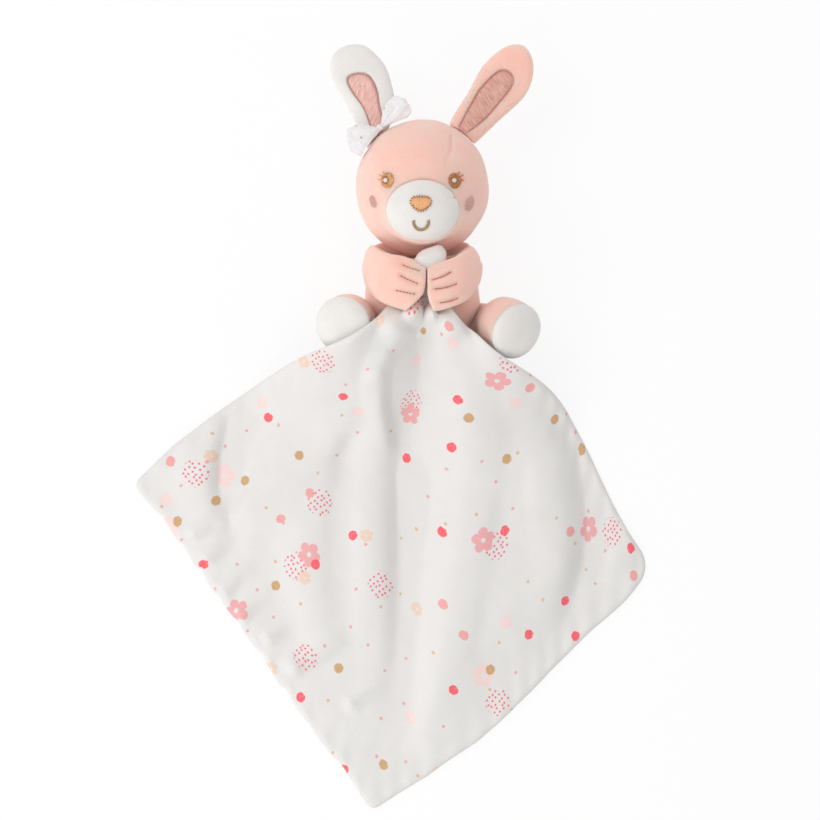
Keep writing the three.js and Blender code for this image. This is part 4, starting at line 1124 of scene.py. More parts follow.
# how far up each hand reaches, from one side to the other
HAND_TOPS = {
    "left": ((-40, 40), (-24, 28.5), (-18.9, 26.6), (-12.5, 24.4), (-5.7, 21.8), (-2.5, 19.6), (2, 16.2)),
    "right": ((3, 16), (5.3, 18), (9.7, 19.6), (14, 21.2), (18.4, 22.9), (21.7, 25.6), (23.9, 30), (30, 42)),
}
# the middle of the round of each shoulder as seen from above, and its radius
SHOULDERS = {"left": (-22.5, 21.5, 11.8), "right": (22.5, 20.5, 11.4)}
FINGERS = {
    "left": (((-11.6, 18.3), (-1.4, 14.8)), ((-13, 12), (-2.6, 7.2)), ((-15.6, 3.6), (-4.2, 1.2))),
    "right": (((5.8, 9.6), (16.6, 14.2)), ((6.8, 4.2), (20, 7.4)), ((10, -3.6), (20.4, -0.8))),
}
FINGER_DIP, FINGER_DIP_WIDTH = 0.95, 1.5
FINGER_THREAD = 0.3
FINGER_STITCHES = 6
# the share of each finger line that lies between its stitches, and how much it sags
FINGER_GAPS = {"left": 0.48, "right": 0.2}
FINGER_SAGS = {"left": 0.3, "right": 1}
# its second colour is painted shade in the grooves of its twist
finger_thread = thread("finger_thread", (0.52, 0.30, 0.16, 1), (0.24, 0.12, 0.06, 1))


def smooth(t, a, b):
    """0 up to a, 1 from b on, and a soft rise between them."""
    share = np.clip((t - a) / (b - a), 0, 1)
    return share * share * (3 - 2 * share)


def past_limit(past, blend=2):
    """What goes past a limit, with a soft change where it nears it."""
    return np.where(past > blend, past, np.where(past > -blend, (past + blend) ** 2 / (4 * blend), 0))


def arm_skin(name):
    """Rings of a sleeve from the shoulder to the hand, which is trimmed to its own end, top and shoulder."""
    side = -1 if name == "left" else 1

    def half(t):
        narrow = 1 - 0.08 * math.exp(-(((t - 0.32) / 0.2) ** 2))
        return ARM_HALF[0] * narrow * blunt(t, 7), ARM_HALF[1] * blunt(t, 7)

    rings = sausage(ARM_LINE * (side, 1, 1), (0, 1, 0), half, 120, 110, ARM_SQUARE, 0.002, 0.998)
    flat = rings.reshape(-1, 3)
    front = smooth(flat[:, 2], 54, 60)
    for a, b in FINGERS[name]:
        away, along = away_from_line(flat, np.array((a, b), float))
        flat[:, 2] -= front * FINGER_DIP * np.exp(-((away / FINGER_DIP_WIDTH) ** 2))
    heights, limits = zip(*HAND_ENDS[name])
    limit = np.interp(flat[:, 1], heights, limits)
    depth = np.clip((flat[:, 2] - HAND_Z) / ARM_HALF[1], -1, 1)
    heights, sizes = zip(*HAND_ROUNDING[name])
    limit = limit + side * np.interp(flat[:, 1], heights, sizes) * np.abs(depth) ** 2.4
    flat[:, 0] += side * past_limit(side * (limit - flat[:, 0]))
    places, limits = zip(*HAND_TOPS[name])
    past = flat[:, 1] - np.interp(flat[:, 0], places, limits)
    flat[:, 1] -= smooth(flat[:, 2], 38, 50) * past_limit(past)
    middle_x, middle_y, radius = SHOULDERS[name]
    p, q = side * (flat[:, 0] - middle_x), flat[:, 1] - middle_y
    away = np.hypot(p, q)
    outside = (p > 0) & (q > 0) & (away > radius)
    pull = np.where(outside, (radius + 0.3 * (away - radius)) / np.maximum(away, 1e-6), 1)
    flat[:, 0] = middle_x + side * p * pull
    flat[:, 1] = middle_y + q * pull
    flat = press_out(flat, head_all_round, HEAD_REST_GAP)
    out = uneven(flat, 12, 0.8, 20 + side) + uneven(flat, 5, 0.2, 23 + side)
    flat[:, 2] += out
    flat[:, 0] += out * side * 0.5
    return flat.reshape(rings.shape)


def tops(skin, x, y):
    """The height of the highest surface of rings at x and y, found from their places."""
    places = skin.reshape(-1, 3)
    result = []
    for px, py in zip(x, y):
        high = places[np.hypot(places[:, 0] - px, places[:, 1] - py) < 2.2]
        top = high[high[:, 2] > high[:, 2].max() - 1.8]
        weight = 1 / (0.05 + np.hypot(top[:, 0] - px, top[:, 1] - py) ** 2)
        result.append((top[:, 2] @ weight) / weight.sum())
    return np.array(result)


for side_name in ("left", "right"):
    skin = arm_skin(side_name)
    piece = ring_form(f"{side_name}_arm_plush", skin)
    piece.data.materials.append(pink_plush)
    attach(piece, "torso")
    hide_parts(f"{side_name}_arm_cover", f"{side_name}_arm_stuffing")
    half_gap = FINGER_GAPS[side_name] / 2
    for row, (a, b) in enumerate(FINGERS[side_name]):
        a, b = np.array(a), np.array(b)
        dashes = []
        for i in range(FINGER_STITCHES):
            t = np.linspace((i + half_gap) / FINGER_STITCHES, (i + 1 - half_gap) / FINGER_STITCHES, 6)
            line = a + t[:, None] * (b - a)
            line[:, 1] -= 0.7 * np.sin(math.pi * t) * FINGER_SAGS[side_name]
            height = tops(skin, line[:, 0], line[:, 1]) + 0.3 - 0.45 * np.abs(np.linspace(-1, 1, 6)) ** 4
            dashes.append(np.column_stack([line, height]))
        stitched = strands(f"{side_name}_finger_stitching_{row + 1}", dashes, FINGER_THREAD)
        sew(stitched, finger_thread, "torso", [f"{side_name}_finger_line_{row + 1}"])

# Legs: pink sleeves of fibre that come forward from the hips, each closed by a round white sole.
# The sole is sewn in with a seam all round, so it bulges a little and the pink plush puffs beside it.
HIP_RADIUS, LEG_RADIUS, FOOT_RADIUS = 12, 12.5, 16.6
HIP_PLACE = (27.0, -13, 21.5)
SOLE_PLACE = (52.25, -19.4, 52)
SOLE_INSET = 6.5
FOOT_LENGTH = 17
LEG_DROP = 12
LEG_SIDES = 84
LEGS = {
    # how far the foot is shifted to the right and up, and how far the leg and its sole turn outwards and drop
    "left": {"side": -1, "shift": 3.2, "rise": 2, "turn": 21, "sole_turn": 18, "sole_drop": 10},
    "right": {"side": 1, "shift": 4.4, "rise": 0, "turn": 27, "sole_turn": 33, "sole_drop": 20},
}


def facing_way(side, turn, drop):
    """The direction that a foot faces when it drops from straight up and turns outwards."""
    dropped = turned(np.array([(0.0, 0, 1)]), (1, 0, 0), drop, 0)
    return turned(dropped, (0, 1, 0), side * turn, 0)[0]


def leg_line(leg):
    """The places of the hip, the thigh and the ankle."""
    root = np.array((leg["side"] * HIP_PLACE[0], *HIP_PLACE[1:]))
    sole = np.array((leg["side"] * SOLE_PLACE[0] + leg["shift"], leg["rise"] + SOLE_PLACE[1], SOLE_PLACE[2]))
    ankle = sole - FOOT_LENGTH * facing_way(leg["side"], leg["turn"], LEG_DROP)
    thigh = (root + (ankle[0], ankle[1], root[2])) / 2
    return root, thigh, ankle


def leg_half(t):
    """The radius of a leg along its line: narrow at the hip and full at the foot."""
    radius = HIP_RADIUS + (LEG_RADIUS - HIP_RADIUS) * smooth(t, 0.3, 0.5)
    radius += (FOOT_RADIUS - radius) * smooth(t, 0.4, 0.7)
    radius *= min(1, t / 0.16) ** 0.5
    return radius, radius


for side_name, leg in LEGS.items():
    root, thigh, ankle = leg_line(leg)
    facing = facing_way(leg["side"], leg["sole_turn"], leg["sole_drop"])
    seam = ankle + facing * (FOOT_LENGTH - SOLE_INSET)
    rings = sausage((root, thigh, ankle, seam), (0, 1, 0), leg_half, 70, LEG_SIDES, 2.0, 0.01, 1)
    wide = np.array((0, 1.0, 0)) - facing * facing[1]
    wide /= np.linalg.norm(wide)
    deep = np.cross(facing, wide)
    angles = round_turn(LEG_SIDES)
    rim = wide * np.cos(angles)[:, None] + deep * np.sin(angles)[:, None]
    ends = ((FOOT_RADIUS - 0.5, 0.5), (FOOT_RADIUS - 1.3, 0.5), (FOOT_RADIUS - 2, 0))
    ends += ((FOOT_RADIUS * 0.5, -0.6),)
    rings = np.vstack([rings, np.array([seam + facing * lift + radius * rim for radius, lift in ends])])
    flat = rings.reshape(-1, 3)
    swell = 0.02 * uneven(flat, 11, 1.0, 30 + leg["side"])
    flat += (flat - (root + thigh + ankle + seam) / 4) * swell[:, None]
    piece = ring_form(f"{side_name}_leg_plush", rings)
    piece.data.materials.append(pink_plush)
    sole_ends = []
    for share in np.sin(np.linspace(0.03, 1, 26) * math.pi / 2):
        sole_ends.append(((FOOT_RADIUS + 0.1) * share, 0.8 + (SOLE_INSET - 0.8) * (1 - share**2.6) ** 0.62))
    sole_ends += [(FOOT_RADIUS - 0.9, 0.6), (FOOT_RADIUS * 0.5, 0.6)]
    sole_rings = np.array([seam + facing * lift + radius * rim for radius, lift in sole_ends])
    flat = sole_rings.reshape(-1, 3)
    flat += facing * uneven(flat, 8, 0.35, 40 + leg["side"])[:, None]
    sole = ring_form(f"{side_name}_sole_plush", sole_rings)
    sole.data.materials.append(white_plush)
    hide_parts(f"{side_name}_leg_cover", f"{side_name}_leg_stuffing")
    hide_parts(f"{side_name}_sole")
    Vector(root) * MM
    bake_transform(piece)
    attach(sole, f"{side_name}_leg")

# Blanket: a printed cloth and a plain one, sewn together along their edges and turned, held by one corner.
# It is drawn together at the hands, falls over the feet in a few long folds and lies flat beyond them.
BLANKET_SIDE = 250
LAYER = 1.1
LAYER_GAP = 0.3
LOWEST = 0.15
LYING = LAYER + LAYER_GAP
TIP = np.array((4.3, 29.9))
GRIP_HEIGHT = 46.2
GRIP_REACH = 41.2
NEAR_CORNER, FAR_CORNER = 6, 14
DIAGONAL_TURN, DIAGONAL_SKEW = 5.9, 2.4
DESCENT = 112
FOOT_SLOPE, FOOT_CLEARANCE, FOLD_HEIGHT = 42, 5.5, 7
GATHER_LENGTH, GATHER_SHARE, SPREAD_SHARE = 46, 0.36, 0.952
# the degrees that the right edge bends outwards near the hands and at its end, and the left one in and back
BEND_OUT, BEND_OUT_END = 7.0, 0.9
BEND_IN, BEND_IN_BACK = 1.7, 0.9
# the middle, the width and the height of each small hump of cloth below the hands
LOBES = (((-5.5, -9), 5.5, 11), ((6.5, -9.5), 5.5, 10), ((-17, -15), 8.5, 8), ((17, -15), 8.5, 8))
CREASE = ((2, -1), (1, -8), (0.6, -13.5), (-2.5, -17))
CREASE_DEPTH, CREASE_WIDTH = 9, 2
FOLDS = (
    # how softly the cloth turns at a ridge or valley, how far it stands off its slope at the start, middle
    # and end of it, and its line as seen from above
    (30, (6, 11, 7), ((-28, -12), (-38, -26), (-43, -49), (-50, -76), (-64, -98),
                      (-86, -112), (-108, -125), (-120, -133))),
    (60, (8, 8, 6), ((-64, -105), (-67, -134), (-67, -171), (-63, -198))),
    (5, (7, 15, 7), ((-12, -18), (-24, -28), (-29, -42), (-28, -63), (-25, -83))),
    (45, (7, 9, 3), ((-28, -80), (-30, -93), (-31, -124), (-31, -158), (-30, -191), (-32, -228))),
    (25, (7, 14, 8), ((11, -13), (23, -30), (33, -49), (37, -73), (37, -96), (32, -127), (27, -158),
                      (20, -198), (14, -232), (9, -263))),
    (45, (4, 13, 9), ((45, -38), (58, -66), (66, -96), (74, -127), (78, -157), (74, -185))),
    (45, (10, 10, 7), ((60, -100), (54, -135), (50, -170), (42, -205))),
    (35, (7, 9, 6), ((124, -110), (130, -134), (121, -164))),
    (30, (7, 10, 6), ((-122, -61), (-133, -90), (-136, -117), (-130, -142))),
    (14, (-8, -16, -5), ((1, -17), (-4, -27), (-8, -40), (-14, -61), (-14, -82))),
    (60, (-7, -2, -1), ((-5, -60), (-8, -80), (-7, -110), (-7, -130), (-8, -158), (-8, -185), (-9, -205),
                        (-12, -239), (-15, -270))),
    (60, (3, 4, 3), ((-42, -84), (-46, -96), (-48, -124), (-48, -158), (-47, -185), (-48, -215))),
    (70, (-3, -5, -2), ((98, -54), (106, -83), (109, -110), (110, -134), (104, -164), (94, -191))),
    (20, (-2, -3, 0), ((-112, -70), (-116, -93), (-116, -124), (-115, -150))),
    (40, (2, 2, 1), ((-98, -150), (-92, -175), (-80, -205))),
)
FOLD_SHARPNESS = 1.35
# the weight of the plain slope beside the folds, and what it adds to their height
SLOPE_WEIGHT, SLOPE_HEIGHT = 2.6e-5, 1e-4
PUCKERS = (
    # the line of a short ridge at the edge, and its width and its height at its start and its end
    (((-137, -139), (-127, -132)), (4, 5), (4.2, 1.2)),
    (((-129, -154), (-120, -146)), (4, 5), (3.9, 1.2)),
    (((-119, -173), (-107, -161)), (4, 5), (4.2, 1.2)),
    (((-107, -188), (-95, -175)), (4, 5), (3.9, 1.2)),
    (((-92, -202), (-80, -195)), (4, 5), (3.9, 1.2)),
    (((-76, -220), (-53, -205)), (5, 6), (5.5, 2)),
    (((-42, -242), (-29, -232)), (4, 5), (3.6, 1.2)),
)
PUCKER, PUCKER_LENGTH = 0.7, 17
# the bearing from the middle of the cloth in degrees, and how much further than its slope the cloth reaches
# there, as cotton gives on the bias, or less where it bunches in small folds
GIVE = (
    ((-45, 0), (-40, -1.5), (-35, -5.3), (-30, -8.2), (-22, -10), (-16, -5), (-8, -6), (0, -2))
    + ((6, 5.2), (12, 7.6), (18, 4), (24, 2.2), (45, 2.4))
)
CLOTH_START = -0.5
HAND_GAP = 0.6
HEM_ROUND = 3.2
ROWS_OUT, COLUMNS = 190, 220


def higher(a, b, blend):
    """The larger of two heights, with a soft change from one to the other."""
    share = np.clip((a - b) / (2 * blend) + 0.5, 0, 1)
    return b * (1 - share) + a * share + blend * share * (1 - share)


def over_foot(x, y, ankle):
    """The height of cloth that lies on a foot and falls away from it on a slope."""
    radius = FOOT_LENGTH + FOOT_CLEARANCE
    away = np.hypot(x - ankle[0], y - ankle[1])
    slope = math.radians(FOOT_SLOPE)
    edge = radius * math.sin(slope)
    cap = ankle[2] + np.sqrt(np.maximum(radius**2 - away**2, 0))
    return np.where(away < edge, cap, ankle[2] + radius * math.cos(slope) - (away - edge) * math.tan(slope))

def beside_line(x, y, line):
    """How far places are from a line as seen from above, and how far along it from 0 to 1."""
    line = np.array(line, float)
    lengths = np.linalg.norm(np.diff(line, axis=0), axis=1)
    starts = np.concatenate([[0], np.cumsum(lengths)])
    best, along = np.full_like(x, 1e9), np.zeros_like(x)
    for k in range(len(lengths)):
        d = (line[k + 1] - line[k]) / lengths[k]
        inside = np.clip((x - line[k, 0]) * d[0] + (y - line[k, 1]) * d[1], 0, lengths[k])
        away = np.hypot(x - line[k, 0] - inside * d[0], y - line[k, 1] - inside * d[1])
        along = np.where(away < best, starts[k] + inside, along)
        best = np.minimum(best, away)
    return best, along / starts[-1]


def folded(x, y):
    """How far the folds stand off the slope of the cloth: it runs softly between its ridges and valleys."""
    height, weight = np.full_like(x, SLOPE_HEIGHT), np.full_like(x, SLOPE_WEIGHT)
    for softness, heights, line in FOLDS:
        away, along = beside_line(x, y, line)
        near = 1 / (away**2 + softness) ** FOLD_SHARPNESS
        height += near * np.interp(along, (0, 0.5, 1), heights)
        weight += near
    return height / weight


def puckered(x, y):
    """Short soft ridges that run in from the seam at the edge."""
    total = np.zeros_like(x)
    for line, (width_a, width_b), (height_a, height_b) in PUCKERS:
        away, along = beside_line(x, y, line)
        height, width = height_a + (height_b - height_a) * along, width_a + (width_b - width_a) * along
        total += height * np.exp(-((away / width) ** 2))
    return total


def over_torso(x, y):
    """The height of the cloth where it rests on the torso."""
    t = np.clip((y - TORSO_BOTTOM) / (TORSO_TOP - TORSO_BOTTOM), 0.001, 0.999)
    share = (1 - np.abs(2 * t - 1) ** (2.6 + 3.4 * t)) ** (1 / 2.6)
    round_off = np.sqrt(np.clip(1 - (x / TORSO_HALF[0]) ** 2, 0, 1))
    return np.where(y > TORSO_BOTTOM, TORSO_MIDDLE + TORSO_HALF[1] * share * round_off + 1.6, 0)


def under_hands(x, y):
    """The most height that the cloth has below the hands; it has far more between and beyond them."""
    across = np.clip(np.abs((y - HAND_Y) / ARM_HALF[0]), 0, 1)
    under = HAND_Z - ARM_HALF[1] * (1 - across**ARM_SQUARE) ** (1 / ARM_SQUARE) - HAND_GAP - LAYER - LAYER_GAP
    (left_y, left_x), (right_y, right_x) = zip(*HAND_ENDS["left"]), zip(*HAND_ENDS["right"])
    beyond = np.minimum(x - np.interp(y, left_y, left_x), np.interp(y, right_y, right_x) - x)
    return under + 14 * smooth(beyond, -1.5, 1.5) + 40 * smooth(-11.4 - y, -1, 2)


ankles = [leg_line(leg)[2] for leg in LEGS.values()]


def bent_edges(reach_out, bearing):
    """How many degrees the cloth swings to the right along its curved edges."""
    right = BEND_OUT * smooth(reach_out, 33, 62) * (1 - smooth(reach_out, 115, 240))
    right = (right + BEND_OUT_END * smooth(reach_out, 180, 250)) * np.maximum(bearing / 45, 0) ** 2
    left = BEND_IN * smooth(reach_out, 100, 190) - BEND_IN_BACK * smooth(reach_out, 210, 250)
    return right - np.maximum(-bearing / 45, 0) ** 2 * left


def draped(reach_out, ground, bearing, bunched=True):
    """Where cloth lies: reach_out from its tip along the cloth, and ground from it as seen from above."""
    gathered = 1 - GATHER_SHARE * np.exp(-((np.maximum(reach_out - GRIP_REACH, 0) / GATHER_LENGTH) ** 2))
    skew = DIAGONAL_SKEW * (bearing / 45) ** 2
    bearing_down = bearing * SPREAD_SHARE * gathered - 90 - DIAGONAL_TURN - skew
    angle = np.radians(bearing_down + bent_edges(reach_out, bearing))
    x, y = TIP[0] + ground * np.cos(angle), TIP[1] + ground * np.sin(angle)
    z = GRIP_HEIGHT + (LYING - GRIP_HEIGHT) * smooth(reach_out, GRIP_REACH - 10, GRIP_REACH + DESCENT)
    if bunched:
        for (cx, cy), width, height in LOBES:
            z = z + height * np.exp(-(((x - cx) ** 2 + (y - cy) ** 2) / width**2))
        away, along = beside_line(x, y, CREASE)
        z = z - CREASE_DEPTH * (1 - along) * np.exp(-((away / CREASE_WIDTH) ** 2))
    from_edge = 45 - np.abs(bearing)
    edge = BLANKET_SIDE / np.cos(np.radians(from_edge))
    inner = (0.3 + 0.7 * smooth(from_edge, 0, 7)) * (1 - 0.8 * smooth(reach_out / edge, 0.8, 1))
    z = z + folded(x, y) * inner * smooth(reach_out, GRIP_REACH, GRIP_REACH + 14)
    z = higher(z, np.full_like(z, LYING), 1)
    for ankle in ankles:
        z = higher(z, over_foot(x, y, ankle), FOLD_HEIGHT)
    z = np.minimum(higher(z, over_torso(x, y), 1.5), under_hands(x, y))
    return np.stack([x, y, np.maximum(z + puckered(x, y), LYING)], axis=-1)


def past_corner(x, y, radius):
    """How far places lie past the middle of a corner's round, and which lie past it both ways."""
    p, q = x - (BLANKET_SIDE - radius), y - (BLANKET_SIDE - radius)
    return p, q, (p > 0) & (q > 0)


def rounded(across, down):
    """Rounds the far corners of the flat cloth: a place near a square corner moves onto its arc."""

    def corner(x, y, radius):
        p, q, inside = past_corner(x, y, radius)
        share = np.maximum(p, q) / np.maximum(np.hypot(p, q), SMALLEST)
        return np.where(inside, x - p + p * share, x), np.where(inside, y - q + q * share, y)

    x, y = corner(across, down, NEAR_CORNER)
    a, flipped = corner(x, BLANKET_SIDE - y, FAR_CORNER)
    flipped_a, b = corner(BLANKET_SIDE - a, BLANKET_SIDE - flipped, NEAR_CORNER)
    return BLANKET_SIDE - flipped_a, b


def between(table, i, j):
    """A value between four places of a table."""
    i0, j0 = i.astype(int), j.astype(int)
    u, v = i - i0, j - j0
    near = table[i0, j0] * (1 - u) * (1 - v) + table[i0 + 1, j0] * u * (1 - v)
    return near + table[i0, j0 + 1] * (1 - u) * v + table[i0 + 1, j0 + 1] * u * v


def lay_cloth():
    """Grids of places on the middle of the cloth, their places on the flat cloth, and how far an edge is."""
    turns = np.linspace(-45, 45, COLUMNS + 1)
    shares = np.linspace(0, 1, ROWS_OUT + 1) ** 1.15
    edge = BLANKET_SIDE / np.cos(np.radians(45 - np.abs(turns)))
    lean = np.radians(turns * SPREAD_SHARE * (1 - GATHER_SHARE) - DIAGONAL_TURN)
    start = (TIP[1] + CLOTH_START) / np.cos(lean)
    out = start + shares[:, None] * (edge - start)
    a, b = rounded(out * np.cos(np.radians(45 - turns)), out * np.cos(np.radians(45 + turns)))
    reach_out, bearing = np.hypot(a, b), 45 - np.degrees(np.arctan2(b, a))
    # how far over the table each length of cloth takes it, at each bearing, as it climbs and falls
    tabled = np.linspace(GRIP_REACH - 14, 360, 748)
    step = tabled[1] - tabled[0]
    bearings = np.linspace(-46, 46, 185)
    ground = np.empty((len(tabled), len(bearings)))
    ground[0] = tabled[0]
    place = draped(tabled[0], ground[0], bearings, False)
    for i in range(1, len(tabled)):
        further = draped(tabled[i], ground[i - 1] + step, bearings, False)
        ground[i] = ground[i - 1] + step / np.hypot(1, (further[:, 2] - place[:, 2]) / step)
        place = draped(tabled[i], ground[i], bearings, False)
    row = np.clip((reach_out - tabled[0]) / step, 0, len(tabled) - 1.001)
    column = np.clip((bearing - bearings[0]) / (bearings[1] - bearings[0]), 0, len(bearings) - 1.001)
    give_bearings, gives = zip(*GIVE)
    given_way = np.interp(bearing, give_bearings, gives) * smooth(reach_out, 60, 220)
    places = draped(reach_out, between(ground, row, column) + given_way, bearing)
    inset = np.minimum(np.minimum(a, b), np.minimum(BLANKET_SIDE - a, BLANKET_SIDE - b))
    from_right, from_bottom = BLANKET_SIDE - a, BLANKET_SIDE - b
    for x, y, radius in ((a, b, NEAR_CORNER), (a, from_bottom, FAR_CORNER), (from_right, b, NEAR_CORNER)):
        p, q, inside = past_corner(x, y, radius)
        inset = np.where(inside, np.minimum(inset, radius - np.hypot(p, q)), inset)
    return places, np.stack([a, b], axis=-1), np.maximum(inset, 0)


def sheet_faces(rows, columns):
    """Faces of a sheet with an upper and a lower side, closed round its edge."""
    row, under = columns + 1, (rows + 1) * (columns + 1)
    faces = []
    for i in range(rows):
        for j in range(columns):
            a = i * row + j
            faces.append((a, a + row, a + row + 1, a + 1))
            faces.append((under + a, under + a + 1, under + a + row + 1, under + a + row))
    for j in range(columns):
        first, last = j, rows * row + j
        faces.append((first + 1, under + first + 1, under + first, first))
        faces.append((last, under + last, under + last + 1, last + 1))
    for i in range(rows):
        left, right = i * row, i * row + columns
        faces.append((left, under + left, under + left + row, left + row))
        faces.append((right + row, under + right + row, under + right, right))
    return faces


cloth_places, cloth_flat, cloth_inset = lay_cloth()
along_cloth = np.gradient(cloth_places, axis=0)
across_cloth = np.gradient(cloth_places, axis=1)
cloth_up = np.cross(along_cloth, across_cloth)
cloth_up /= np.maximum(np.linalg.norm(cloth_up, axis=-1, keepdims=True), SMALLEST)
if cloth_up[..., 2].mean() < 0:
    cloth_up = -cloth_up
ripples = uneven(cloth_places.reshape(-1, 3), 26, 0.9, 50) + uneven(cloth_places.reshape(-1, 3), 9, 0.25, 51)
ripples = ripples.reshape(cloth_places.shape[:2]) * np.clip(cloth_inset / 8, 0, 1)
round_edge = np.abs(cloth_flat[..., 0] - cloth_flat[..., 1]) + 0.35 * cloth_inset
pucker = 1 + np.sin(2 * math.pi * round_edge / PUCKER_LENGTH + 1.5 * np.sin(round_edge / 23))
ripples += PUCKER * pucker * np.exp(-cloth_inset / 9) * smooth(cloth_inset, 0.5, 4)
hem = np.sqrt(1 - (1 - np.clip(cloth_inset / HEM_ROUND, 0, 1)) ** 2)


def cloth_sheet(name, outer, inner):
    """One layer: outer and inner say how far its two sides are above the middle of the two cloths."""
    surfaces = []
    for distance in (max(outer, inner), min(outer, inner)):
        share = 0.12 + 0.88 * hem
        lifted = cloth_places + cloth_up * (distance * share)[..., None]
        lifted[..., 2] += ripples
        surfaces.append(lifted.reshape(-1, 3))
    places = np.concatenate(surfaces)
    places[:, 2] = np.maximum(places[:, 2], LOWEST + LAYER if outer > 0 else LOWEST)
    uv = np.tile(cloth_flat.reshape(-1, 2) / BLANKET_SIDE, (2, 1))
    return make_mesh(name, places, sheet_faces(ROWS_OUT, COLUMNS), uv)


def flat_place(group, seed):
    """The place on the flat cloth in millimetres, shifted by a seed."""
    flat = add_node(group, "UVMap", uv_map="flat")
    in_mm = add_node(group, "VectorMath", {"Scale": BLANKET_SIDE, 0: flat.outputs[0]}, operation="SCALE")
    both = add_node(group, "CombineXYZ", {"X": seed, "Y": seed})
    shifted = add_node(group, "VectorMath", {0: in_mm.outputs[0], 1: both.outputs[0]}, operation="ADD")
    return shifted.outputs[0]


def spots_of(group, place, cell, randomness):
    """Uneven places about one cell apart: the distance to the nearest in millimetres, and its colour."""
    scale = math_node(group, "DIVIDE", 1.0, cell)
    values = {"Randomness": randomness, "Vector": place, "Scale": scale}
    spots = add_node(group, "TexVoronoi", values, voronoi_dimensions="2D")
    random = add_node(group, "SeparateColor", {0: spots.outputs["Color"]})
    return spots, math_node(group, "MULTIPLY", spots.outputs["Distance"], cell), random.outputs


def soft_step(group, value, limit, softness):
    """1 where a value is below its limit and 0 where it is above."""
    past = math_node(group, "SUBTRACT", value, limit)
    values = {"From Min": softness, "From Max": -softness, "Value": past}
    return add_node(group, "MapRange", values).outputs[0]


def spot_group():
    """One scatter of the print: painted spots or flowers of one size, with a random number for each."""
    group, given, out = node_group(
        "scattered_spots",
        {"Cell": 26.0, "Radius": 3.0, "Seed": 0.0, "Share": 0.7, "Petals": 0.0, "Depth": 0.0, "Eye": 0.0},
        {"Mask": "Float", "Random": "Float"},
    )
    place = flat_place(group, given["Seed"])
    spots, away, random = spots_of(group, place, given["Cell"], 0.7)
    from_spot = add_node(group, "VectorMath", {0: place, 1: spots.outputs["Position"]}, operation="SUBTRACT")
    parts = add_node(group, "SeparateXYZ", {0: from_spot.outputs[0]})
    turn = math_node(group, "ARCTAN2", parts.outputs["Y"], parts.outputs["X"])
    turn = math_node(group, "ADD", turn, math_node(group, "MULTIPLY", random[0], 6.28))
    half_turn = math_node(group, "MULTIPLY", math_node(group, "MULTIPLY", turn, given["Petals"]), 0.5)
    petal = math_node(group, "ABSOLUTE", math_node(group, "COSINE", half_turn))
    notch = math_node(group, "SUBTRACT", 1.0, math_node(group, "POWER", petal, 0.6))
    rough = add_node(group, "TexNoise", {"Scale": 0.55, "Detail": 3, "Vector": place}).outputs["Fac"]
    uneven_edge = math_node(group, "MULTIPLY", math_node(group, "SUBTRACT", rough, 0.5), 1.5)
    drawn_in = math_node(group, "SUBTRACT", 1.0, math_node(group, "MULTIPLY", notch, given["Depth"]))
    edge = math_node(group, "MULTIPLY", given["Radius"], drawn_in)
    inside = soft_step(group, away, math_node(group, "ADD", edge, uneven_edge), 0.2)
    eye = soft_step(group, away, given["Eye"], 0.25)
    kept = math_node(group, "LESS_THAN", random[1], given["Share"])
    around_eye = math_node(group, "SUBTRACT", 1.0, eye)
    shown = math_node(group, "MULTIPLY", math_node(group, "MULTIPLY", inside, kept), around_eye)
    streak = math_node(group, "ADD", 0.62, math_node(group, "MULTIPLY", rough, 0.7))
    feed(group, out["Mask"], math_node(group, "MULTIPLY", shown, math_node(group, "MINIMUM", streak, 1.0)))
    feed(group, out["Random"], random[2])
    return group


def cluster_group():
    """Round clusters of small dots at wide, uneven distances."""
    group, given, out = node_group(
        "dot_clusters",
        {"Cell": 70.0, "Radius": 9.0, "Seed": 0.0, "Share": 0.7, "Dot Cell": 2.8, "Dot Radius": 0.75},
        {"Mask": "Float"},
    )
    place = flat_place(group, given["Seed"])
    _, away, random = spots_of(group, place, given["Cell"], 0.75)
    _, dot_away, _ = spots_of(group, place, given["Dot Cell"], 0.45)
    cluster = soft_step(group, away, given["Radius"], 0.3)
    dot = soft_step(group, dot_away, given["Dot Radius"], 0.15)
    kept = math_node(group, "LESS_THAN", random[1], given["Share"])
    feed(group, out["Mask"], math_node(group, "MULTIPLY", math_node(group, "MULTIPLY", cluster, dot), kept))
    return group


scattered_spots, dot_clusters = spot_group(), cluster_group()
COTTON = (0.775, 0.755, 0.735, 1)
CORAL, GOLD, BLUSH = (0.94, 0.135, 0.165, 1), (0.62, 0.39, 0.19, 1), (0.86, 0.40, 0.38, 1)
ROSE, FAINT, PEACH = (0.86, 0.42, 0.42, 1), (0.90, 0.68, 0.65, 1), (0.84, 0.63, 0.50, 1)
BROWN, RED = (0.72, 0.50, 0.32, 1), (0.88, 0.20, 0.25, 1)
PRINTS = (
    # cell, radius, seed, share, petals, depth and eye, and each colour with the share of spots it ends at
    ((57, 7.4, 331, 0.6, 5, 0.42, 1.5), ((0.72, ROSE), (1, FAINT))),
    ((46, 4.2, 871, 0.5, 6, 0.3, 0.9), ((0.6, FAINT), (1, PEACH))),
    ((30, 3.0, 117, 0.62, 0, 0, -1), ((0.42, CORAL), (0.68, GOLD), (1, BLUSH))),
    ((19, 1.0, 553, 0.42, 0, 0, -1), ((0.6, BLUSH), (1, BROWN))),
)
# cell, radius, seed, share, and the cell and the radius of a dot
CLUSTER = (66, 8.2, 402, 0.8, 2.9, 0.72)


